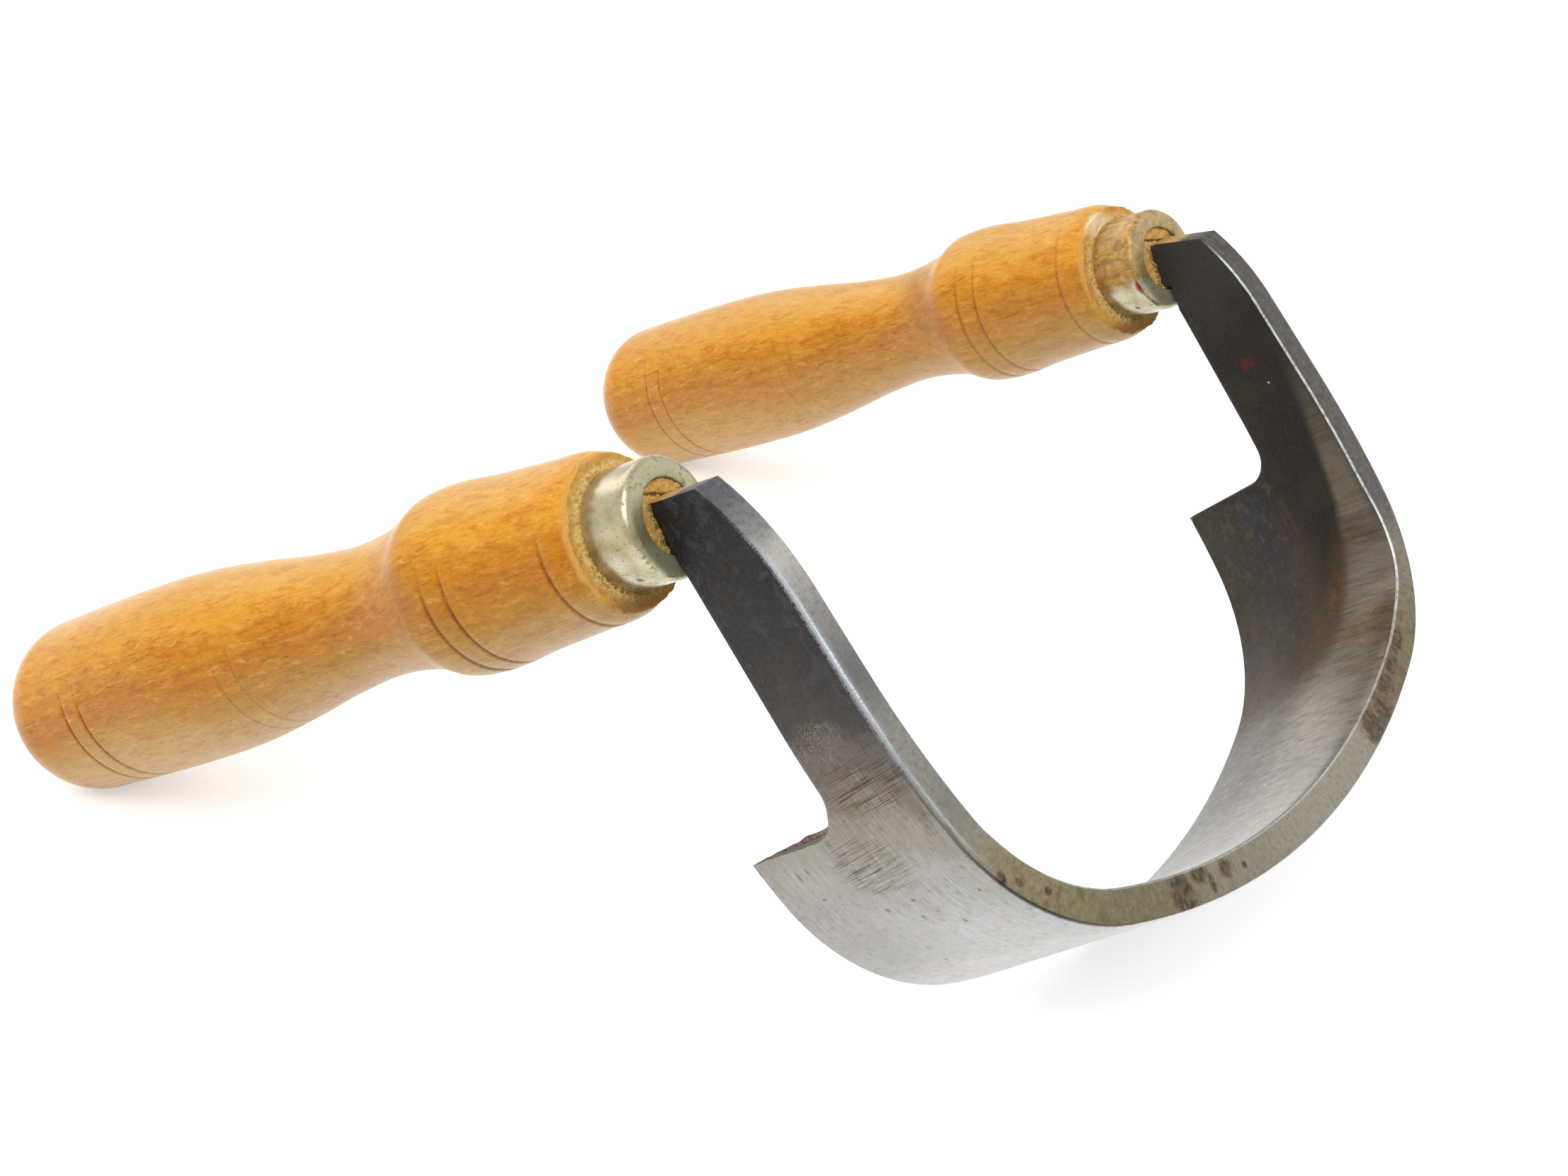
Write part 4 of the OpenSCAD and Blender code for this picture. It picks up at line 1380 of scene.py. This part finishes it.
    def _zones(self) -> list[Vector]:
        """How far each point of a whole section is on the spine, a worn corner and the inner face."""
        last = self.corner_steps
        corner = [(1 - k / last, float(0 < k < last)) for k in range(last + 1)]
        flat = self.face_steps + self.edge_steps
        zones = [Vector((spine, worn, 0.0)) for spine, worn in corner] + [Vector()] * flat
        zones += [Vector((0.0, 0.0, 1.0))] * flat
        zones += [Vector((spine, worn, 1.0)) for spine, worn in reversed(corner)]
        return zones + [Vector((1.0, 0.0, 0.5))] * (self.spine_steps - 1)

    def _bar_ring(self, arm: ArmSizes, run: float) -> list[Vector]:
        """Whole section of the bend.

        Args:
            arm: The arm of that half.
            run: Distance along the outer curve from the middle of the bottom.

        Returns:
            Its points. Towards the shoulder it lies level, and its front dips.
        """
        s = self.sizes
        last, ease = s.run_at(arm.shoulder), s.arcs[2].run
        dip = self.dip * smooth((run - self.dip_run) / (last - self.dip_run))
        middle = sum(a.low_width + a.fillet for a in self.arms) / len(self.arms)
        rear = middle + (arm.low_width + arm.fillet - middle) * run / last
        flat = max(0.0, (run - ease) / (last - ease))
        ring = []
        for y, along, depth in self._section((0.0, run - dip), (rear, run), self._rounds(arm.side, run, 2 * last),
                                             0.0, True):
            height = s.bent(along, 0.0, 0.0).z
            depth -= self._hollow(arm, along, y, depth)
            place = s.bent(along, y, depth)
            ring.append(place.lerp(s.level(height, y, depth), flat) if flat else place)
        return ring

    def _hollow(self, arm: ArmSizes, run: float, y: float, depth: float) -> float:
        """How much the left corner of the bend is worn away from the inside, at a place."""
        middle, half_run, reach, most = self.hollow
        if arm.side is Side.RIGHT:
            return 0.0
        share = smooth(1 - abs(run - middle) / half_run) * smooth(1 - y / reach)
        return most * share * smooth(depth / self.sizes.thickness(y))

    def _shoulder_point(self, arm: ArmSizes, y: float, step: int) -> Vector:
        """Place on the end face of a shoulder.

        Args:
            arm: The arm.
            y: Distance from the spine.
            step: Step from the outer face to the inner one.

        Returns:
            The place. The left shoulder is cut clean; the right one is sheared and torn.
        """
        s = self.sizes
        thickness = s.thickness(y)
        if arm.side is Side.LEFT:
            back, depth = self._rim(step, thickness, min(0.3, thickness * 0.3))
            return s.level(arm.shoulder - back, y, depth)
        share = step / self.rear_steps
        start = arm.low_width + arm.fillet
        fade = smooth((y - start) / 3.0) * min(1.0, thickness / 2.4)
        rough = noise.noise(Vector((y * 0.9, step * 0.55, 3.0))) * 0.5 + noise.noise(Vector((y * 2.3, step * 1.3, 9.0))) * 0.25
        ragged = smooth((share - 0.3) * 5.0)
        low = follow(y, self.torn_edge) + noise.noise(Vector((y * 0.8, 0.0, 5.0))) * 0.2 * fade
        lift = self.torn_rise[step] + rough * ragged
        return s.level(arm.shoulder + low * (1 - share) + lift * fade, y, thickness * share)

    def _tear(self, arm: ArmSizes, rear: Pair, point: Vector) -> Vector:
        """Pull back the outer face along the right arm's fillet, where the bar tore.

        Args:
            arm: The arm.
            rear: The fillet's point behind the place, from the spine's plane and up.
            point: Distance from the spine's plane, height and depth of the place.

        Returns:
            The point where it ends up.
        """
        if arm.side is Side.LEFT:
            return point
        centre = Vector((arm.low_width + arm.fillet, arm.shoulder + arm.fillet))
        out = (Vector(rear) - centre) / arm.fillet
        near = smooth(1 - (Vector(rear) - point.xy).length / 4.0)
        down = smooth(1 - math.degrees(math.acos(max(-1.0, min(1.0, -out.y)))) / 50.0)
        pull = self.torn_fillet * down * near * (1 - point.z / self.sizes.thickness(point.x))
        return Vector((point.x + out.x * pull, point.y + out.y * pull, point.z))

    def _arm_stations(self, arm: ArmSizes) -> list[tuple[Pair, Pair]]:
        """Front and rear of an arm's side view, a station at a time, from shoulder to ferrule."""
        fillet_y, fillet_h = arm.low_width + arm.fillet, arm.shoulder + arm.fillet
        steps = 10
        stations = []
        for k in range(1, steps + 1):
            turn = math.radians(270 - 90 * k / steps)
            front = arm.shoulder - self.dip + (self.dip + arm.fillet) * k / steps
            stations.append(((0.0, front), (fillet_y + arm.fillet * math.cos(turn), fillet_h + arm.fillet * math.sin(turn))))
        front = [(0.0, fillet_h + (arm.roll_start - fillet_h) * k / 6) for k in range(7)]
        turn = math.asin((arm.top - arm.roll_start) / arm.roll_r)
        front += [(arm.roll_r * (1 - math.cos(turn * k / 9)), arm.roll_start + arm.roll_r * math.sin(turn * k / 9))
                  for k in range(1, 10)]
        tip = arm.side_point(self.clear, self.tang.up)
        (y, h) = front[-1]
        front += [(y + (tip[0] - y) * k / 4, h + (tip[1] - h) * k / 4) for k in range(1, 5)]
        done = [0.0]
        for a, b in zip(front, front[1:]):
            done.append(done[-1] + math.dist(a, b))
        low = Vector((arm.low_width, fillet_h))
        slant = Vector((arm.width, arm.mouth_h)) - low
        pitch = math.radians(arm.pitch)
        ahead = Vector((math.cos(pitch), math.sin(pitch)))
        reach = ahead.dot(Vector(arm.side_point(self.clear, 0.0)) - low) / ahead.dot(slant)
        for point, length in list(zip(front, done))[1:]:
            y, h = low + slant * reach * length / done[-1]
            stations.append((point, (y, h)))
        return stations

    def _shoulder(self, shape: Shaper, ring: list[bmesh.types.BMVert], arm: ArmSizes) -> list[bmesh.types.BMVert]:
        """Close the end of the shoulder behind an arm.

        Args:
            shape: The blade.
            ring: Vertices of the last whole section.
            arm: The arm.

        Returns:
            Vertices of the arm's first section.
        """
        flip = Vector((arm.side.value, 1.0, 1.0))
        first = self.corner_steps + self.face_steps
        tip = first + self.edge_steps
        outer = ring[first:tip + 1]
        inner = ring[tip + 1:tip + 2 + self.edge_steps][::-1]
        depths = [v.co.y for v in outer]
        for chain, step in ((outer, 0), (inner, self.rear_steps)):
            for vert, y in zip(chain, depths):
                vert.co = self._shoulder_point(arm, y, step) * flip
        torn, zone = shape.bm.verts.layers.float_vector["break"], shape.bm.verts.layers.float_vector["zone"]
        corner = (arm.low_width + arm.fillet, arm.shoulder)
        for vert in ring[self.corner_steps + 1:first]:
            side, y, height = vert.co
            moved = self._tear(arm, corner, Vector((y, height, 0.0)))
            vert.co = self.sizes.level(moved.y, moved.x, 0.0) * flip
        rear = []
        chain = outer
        for step in range(1, self.rear_steps + 1):
            last = step == self.rear_steps
            places = [self._shoulder_point(arm, y, step) * flip for y in depths[:-1]] + [inner[-1].co]
            chain = shape.lift(chain, places, closed=False)
            for vert, y in zip(chain, depths):
                vert[zone] = Vector((0.0, 0.0, step / self.rear_steps))
                vert[torn] = Vector((float(arm.side is Side.RIGHT), step / self.rear_steps, 0.0))
            if not last:
                rear.append(chain[0])
        bmesh.ops.weld_verts(shape.bm, targetmap=dict(zip(chain, inner)))
        return ring[:first + 1] + rear + ring[tip + 1 + self.edge_steps:]

    def _tang(self, shape: Shaper, ring: list[bmesh.types.BMVert], arm: ArmSizes) -> None:
        """Draw the tang out of the upper part of an arm's end."""
        t = self.tang
        length = (ring[0].co - ring[self.corner_steps + self.face_steps].co).length
        count = round(self.face_steps * self.tang_depth / length)
        outer = self.corner_steps + count
        inner = self.corner_steps + 2 * self.face_steps + self.rear_steps - count
        ring = ring[:outer + 1] + ring[inner:]
        shape.bm.edges.new((ring[outer], ring[outer + 1]))
        handle = arm.handle_frame
        local = [handle.inverted() @ v.co for v in ring]
        low = Vector([min(p[k] for p in local) for k in range(3)])
        high = Vector([max(p[k] for p in local) for k in range(3)])
        middle, half = (low + high) / 2, (high - low) / 2
        fade = t.taper / t.length
        narrow = t.point_thick / 2 + (t.thick - t.point_thick) / 2 * fade
        sections = (
            (0.5, 0.2, t.thick / 2, t.up, t.down),
            (1.0, 1.5, t.thick / 2, t.up, t.down),
            (1.0, t.length - t.taper, narrow, t.neck, t.neck),
            (1.0, t.length, t.point_thick / 2, t.point, t.point),
        )
        for share, z, width, up, down in sections:
            places = []
            for p in local:
                x = (p.x - middle.x) / half.x * width
                y = (p.y - middle.y) / half.y * (up + down) / 2 + (down - up) / 2
                places.append(handle @ Vector((p.x, p.y, z)).lerp(Vector((x, y, z)), share))
            ring = shape.lift(ring, places)

    def _half(self, shape: Shaper, ring: list[bmesh.types.BMVert], arm: ArmSizes) -> None:
        """Draw one half of the blade out of the section in the middle."""
        s = self.sizes
        flip = Vector((arm.side.value, 1.0, 1.0))
        stops = [0.0, s.arcs[1].run, s.arcs[2].run, s.run_at(arm.shoulder)]
        for (low, high), steps in zip(zip(stops, stops[1:]), (16, 20, 4)):
            for k in range(1, steps + 1):
                ring = shape.lift(ring, [p * flip for p in self._bar_ring(arm, low + (high - low) * k / steps)])
        ring = self._shoulder(shape, ring, arm)
        first, torn = self.corner_steps + self.face_steps, shape.bm.verts.layers.float_vector["break"]
        stations = self._arm_stations(arm)
        last = s.run_at(stations[-1][0][1])
        for k, (front, rear) in enumerate(stations):
            rounds = self._rounds(arm.side, s.run_at(front[1]), last)
            points = self._section(front, rear, rounds, self.rear_round * min(1.0, (k + 1) / 4), False)
            points = [self._tear(arm, rear, p) for p in points]
            ring = shape.lift(ring, [s.level(h, y, depth) * flip for y, h, depth in points])
            for vert in ring[first + 1:first + self.rear_steps]:
                vert[torn].x *= 1 - smooth((k - 2) / 5)
        self._tang(shape, ring, arm)

    def build(self, place: Matrix) -> bpy.types.Object:
        """Make the blade.

        Args:
            place: The tool's frame.

        Returns:
            The piece.
        """
        shape = Shaper(("run", "zone", "break"))
        layers = shape.bm.verts.layers.float_vector
        start = shape.loop(self._bar_ring(self.arms[0], 0.0))
        for vert, zone in zip(start, self._zones()):
            vert[layers["zone"]] = zone
        for arm in self.arms:
            self._half(shape, start, arm)
        shape.cap()
        shape.merge()
        for vert in shape.bm.verts:
            vert[layers["run"]] = self.sizes.run_of(vert.co)
        obj = shape.to_object("forged_blade")
        turn = Matrix.LocRotScale(place.to_translation(), place.to_quaternion(), None)
        obj.data.materials.append(self.finish.build(turn))
        finish_piece(obj, "blade", place, 50.0)
        return obj


@dataclass
class Ferrule:
    """Drawn steel cup on the front of one handle."""

    arm: ArmSizes
    sizes: FerruleSizes
    finish: FerruleFinish
    steps: int = 128

    def _outline(self) -> list[tuple[float, float]]:
        """Closed half section, as radius and distance from the mouth."""
        s = self.sizes
        lip, inner = 0.35, s.round_r - s.wall
        points = [(s.hole_r, lip)]
        points += [(s.hole_r + lip * (1 - math.cos(a)), lip * (1 - math.sin(a)))
                   for a in (math.radians(30), math.radians(60), math.radians(90))]
        points += [(s.hole_r + 0.9, 0.0), (s.hole_r + 1.5, 0.0)]
        centre = s.radius - s.round_r
        for k in range(0, 9):
            a = math.radians(-90 + 90 * k / 8)
            points.append((centre + s.round_r * math.cos(a), s.round_r + s.round_r * math.sin(a)))
        points += [(s.radius, s.round_r + (s.length - 0.25 - s.round_r) * k / 12) for k in range(1, 13)]
        points += [(s.radius - 0.25, s.length), (s.radius - s.wall, s.length)]
        for k in range(0, 5):
            a = math.radians(90 * k / 4)
            points.append((s.radius - s.wall - inner * (1 - math.cos(a)),
                           s.wall + inner * (1 - math.sin(a))))
        points += [(s.hole_r, s.wall)]
        return points

    def build(self, node: str, place: Matrix) -> bpy.types.Object:
        """Make the ferrule.

        Args:
            node: The node that it replaces.
            place: The tool's frame.

        Returns:
            The piece.
        """
        shape = Shaper()
        shape.loop((r, 0.0, d) for r, d in self._outline())
        shape.spin(list(shape.bm.edges), Vector(), Vector((0.0, 0.0, 1.0)), 360.0, self.steps, closed=True)
        shape.merge()

        def dent(co: Vector) -> Vector:
            """Small unevenness of the drawn wall."""
            out = Vector((co.x, co.y, 0.0)).normalized()
            return out * (noise.noise(co * 0.22 + Vector((self.arm.side.value * 9.0, 0.0, 0.0))) * 0.07 - 0.05)

        shape.displace(dent)
        handle = self.arm.handle_frame
        obj = shape.to_object(node + "_cup", handle)
        local = place @ handle
        turn = Matrix.LocRotScale(local.to_translation(), local.to_quaternion(), None)
        obj.data.materials.append(self.finish.build(node + "_steel", turn, self.sizes))
        finish_piece(obj, node, place)
        return obj


@dataclass
class Handle:
    """Turned wooden handle of one arm."""

    arm: ArmSizes
    sizes: HandleSizes
    ferrule: FerruleSizes
    finish: WoodFinish
    ring_top: float = -7.0
    ring_depth: float = 1.0
    steps: int = 160
    gap: float = 0.03

    def _outline(self) -> list[tuple[float, float]]:
        """Half section from the end grain in the ferrule's mouth to the butt's middle."""
        s, f = self.sizes, self.ferrule
        seat = f.radius - f.wall - self.gap
        front = 0.55
        points = [(r, front) for r in (0.0, 0.7, 1.4, 2.1, 2.8, 3.5, 4.2, 4.9, f.hole_r - 0.15)]
        points += [(f.hole_r - 0.1, f.wall), (seat - 0.5, f.wall + 0.02), (seat, f.wall + 0.6)]
        points += [(seat, f.length)]
        points += [(seat + (s.radius(0.0) - seat) * k / 8, f.length) for k in range(1, 8)]
        along = [0.3 * k for k in range(14)]
        far = s.stations[-1][0]
        step = 1.0
        k = along[-1] + 0.4
        while k < far:
            along.append(k)
            near = min(abs(k - ring) for ring, _ in s.rings)
            step = 0.15 if near < 1.0 else 1.0
            k += step
        points += [(s.radius(a), f.length + a) for a in along]
        centre = s.stations[-1][1] - s.butt_round
        for i in range(0, 19):
            a = math.radians(5 * i)
            points.append((centre + s.butt_round * math.cos(a), f.length + far + s.butt_round * math.sin(a)))
        end = f.length + far + s.butt_round
        for i in range(1, 7):
            share = 1 - i / 6
            points.append((centre * share, end + s.butt_dome * (1 - share**2)))
        return points

    def _wear(self, co: Vector) -> Vector:
        """Torn front shoulder, end grain in the mouth, and rings that are worn away on top."""
        f = self.ferrule
        seed = Vector((self.arm.side.value * 31.0, 0.0, 0.0))
        reach = co.z - f.length
        radius = math.hypot(co.x, co.y)
        if co.z < f.wall + 0.05 and radius < f.hole_r - 0.05:
            return Vector((0.0, 0.0, noise.noise(co * 0.9 + seed) * 0.35 + noise.noise(co * 2.6 + seed) * 0.2))
        if -0.01 <= reach < 3.2 and radius > f.radius:
            fade = 1 - reach / 3.2
            out = Vector((co.x, co.y, 0.0)) / radius
            rough = noise.noise(co * 0.5 + seed) * 0.35 + noise.noise(co * 1.9 + seed) * 0.25
            back = noise.noise(co * 1.3 - seed) * 0.3
            return out * fade * (rough - 0.2) + Vector((0.0, 0.0, fade * (back + 0.1)))
        kept = self.ring_depth * smooth((co.y - self.ring_top) / 6.0)
        cut = self.sizes.cut(reach) * kept if radius > f.radius else 0.0
        return Vector((co.x, co.y, 0.0)) * (-cut / radius) if cut else Vector()

    def build(self, node: str, place: Matrix) -> bpy.types.Object:
        """Make the handle.

        Args:
            node: The node that it replaces.
            place: The tool's frame.

        Returns:
            The piece.
        """
        shape = Shaper()
        verts = [shape.bm.verts.new((r, 0.0, d)) for r, d in self._outline()]
        edges = [shape.bm.edges.new(pair) for pair in zip(verts, verts[1:])]
        shape.spin(edges, Vector(), Vector((0.0, 0.0, 1.0)), 360.0, self.steps, closed=True)
        shape.merge()
        shape.displace(self._wear)
        handle = self.arm.handle_frame
        obj = shape.to_object(node + "_wood", handle)
        local = place @ handle
        turn = Matrix.LocRotScale(local.to_translation(), local.to_quaternion(), None)
        obj.data.materials.append(self.finish.build(node + "_wood", turn, self.ferrule.length, self.sizes))
        finish_piece(obj, node, place, 45.0)
        return obj


@dataclass
class Studio:
    """Pale floor, soft light and the camera at the photograph's angle."""

    camera_place: tuple[float, float, float] = (-0.2804, -0.2198, 0.2384)
    right: tuple[float, float, float] = (0.6073, -0.7944, -0.0129)
    up: tuple[float, float, float] = (0.4040, 0.2948, 0.8659)
    lens: float = 53.32
    sensor: float = 36.0

    def _camera(self) -> None:
        """Place the camera."""
        data = bpy.data.cameras.new("camera")
        data.lens = self.lens
        data.sensor_width = self.sensor
        data.clip_start = 0.01
        right, up = Vector(self.right).normalized(), Vector(self.up).normalized()
        back = right.cross(up)
        camera = bpy.data.objects.new("camera", data)
        camera.matrix_world = Matrix.Translation(self.camera_place) @ Matrix((right, up, back)).transposed().to_4x4()
        bpy.context.scene.collection.objects.link(camera)
        bpy.context.scene.camera = camera

    def _floor(self) -> None:
        """Lay the pale floor, which shows white to the camera but keeps the shadow."""
        bm = bmesh.new()
        bmesh.ops.create_grid(bm, x_segments=4, y_segments=4, size=6.0)
        mesh = bpy.data.meshes.new("floor")
        bm.to_mesh(mesh)
        bm.free()
        floor = bpy.data.objects.new("floor", mesh)
        bpy.context.scene.collection.objects.link(floor)
        graph = Graph("floor_paper")
        graph.shader.inputs["Base Color"].default_value = to_linear((0.97, 0.97, 0.97))
        graph.shader.inputs["Roughness"].default_value = 0.9
        graph.shader.inputs["Specular IOR Level"].default_value = 0.0
        glow = graph.nodes.new("ShaderNodeEmission")
        glow.inputs["Color"].default_value = (1.0, 1.0, 1.0, 1.0)
        path = graph.nodes.new("ShaderNodeLightPath")
        seen = graph.math("MAXIMUM", path.outputs["Is Camera Ray"], path.outputs["Is Glossy Ray"])
        seen = graph.math("MAXIMUM", seen, path.outputs["Is Transmission Ray"])
        graph.links.new(graph.math("MULTIPLY", seen, 0.44), glow.inputs["Strength"])
        both = graph.nodes.new("ShaderNodeAddShader")
        graph.links.new(graph.shader.outputs[0], both.inputs[0])
        graph.links.new(glow.outputs[0], both.inputs[1])
        output = graph.nodes["Material Output"]
        graph.links.new(both.outputs[0], output.inputs["Surface"])
        mesh.materials.append(graph.material)

    def _lights(self) -> None:
        """Hang soft lamps and light the room evenly."""
        lamps = (
            ("key", (-0.55, -0.10, 0.95), 0.7, 6.0),
            ("fill", (0.75, -0.55, 0.55), 0.9, 2.3),
            ("rear", (0.25, 0.9, 0.7), 0.9, 3.2),
        )
        for name, place, size, power in lamps:
            data = bpy.data.lights.new(name, "AREA")
            data.size = size
            data.energy = power
            lamp = bpy.data.objects.new(name, data)
            lamp.location = place
            aim = Vector((0.0, 0.0, 0.03)) - Vector(place)
            lamp.rotation_euler = aim.to_track_quat("-Z", "Y").to_euler()
            bpy.context.scene.collection.objects.link(lamp)
        world = bpy.data.worlds.new("room")
        world.use_nodes = True
        nodes, links = world.node_tree.nodes, world.node_tree.links
        sky = nodes["Background"]
        sky.inputs["Color"].default_value = (1.0, 1.0, 1.0, 1.0)
        path = nodes.new("ShaderNodeLightPath")
        seen = nodes.new("ShaderNodeMath")
        seen.operation = "ADD"
        seen.use_clamp = True
        links.new(path.outputs["Is Camera Ray"], seen.inputs[0])
        links.new(path.outputs["Is Glossy Ray"], seen.inputs[1])
        through = nodes.new("ShaderNodeMath")
        through.operation = "MAXIMUM"
        links.new(seen.outputs[0], through.inputs[0])
        links.new(path.outputs["Is Transmission Ray"], through.inputs[1])
        level = nodes.new("ShaderNodeMath")
        level.operation = "MULTIPLY_ADD"
        links.new(through.outputs[0], level.inputs[0])
        level.inputs[1].default_value = 0.44
        level.inputs[2].default_value = 0.56
        links.new(level.outputs[0], sky.inputs["Strength"])
        bpy.context.scene.world = world

    def build(self) -> None:
        """Set the whole stage."""
        self._camera()
        self._floor()
        self._lights()
        bpy.context.scene.view_settings.view_transform = "Standard"


def main() -> None:
    """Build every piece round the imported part."""
    logging.basicConfig(level=logging.INFO, format="%(message)s")
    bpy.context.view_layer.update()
    sizes = BladeSizes()
    place = ToolFrame.from_mount(frame["record"]["mounts"][0], sizes.spine).matrix
    right = ArmSizes(Side.RIGHT, 93.3, 43.5, 15.4, 16.8, 73.5, 14.9, 92.3, 12.5)
    left = ArmSizes(Side.LEFT, 89.6, 47.2, 13.7, 16.0, 74.8, 12.3, 90.3, 15.0)
    Blade(sizes, (right, left), TangSizes()).build(place)
    ferrule = FerruleSizes()
    Ferrule(right, ferrule, FerruleFinish(0.1)).build("ferrule_right", place)
    Ferrule(left, ferrule, FerruleFinish(0.9, red_mark=True)).build("ferrule_left", place)
    blue_grey, speck = (0.45, 0.42, 0.40), (0.22, 0.15, 0.08)
    near = WoodFinish(smudge=0.3, smudge_at=32.0, marks=(
        (130.5, -107.0, 1.6, 0.35, blue_grey), (74.5, -105.0, 0.5, 0.3, speck),
        (110.5, -117.0, 0.5, 0.3, speck), (84.5, -9.0, 0.5, 0.35, speck),
    ))
    far = WoodFinish(smudge=0.45, smudge_at=38.0, pale=0.32, patch=True, ring_darkening=0.5, ring_top=-12.0)
    Handle(right, HandleSizes(), ferrule, near).build("handle_right", place)
    Handle(left, HandleSizes(), ferrule, far, -13.0, 0.6).build("handle_left", place)
    Studio().build()


if __name__ == "__main__":
    main()
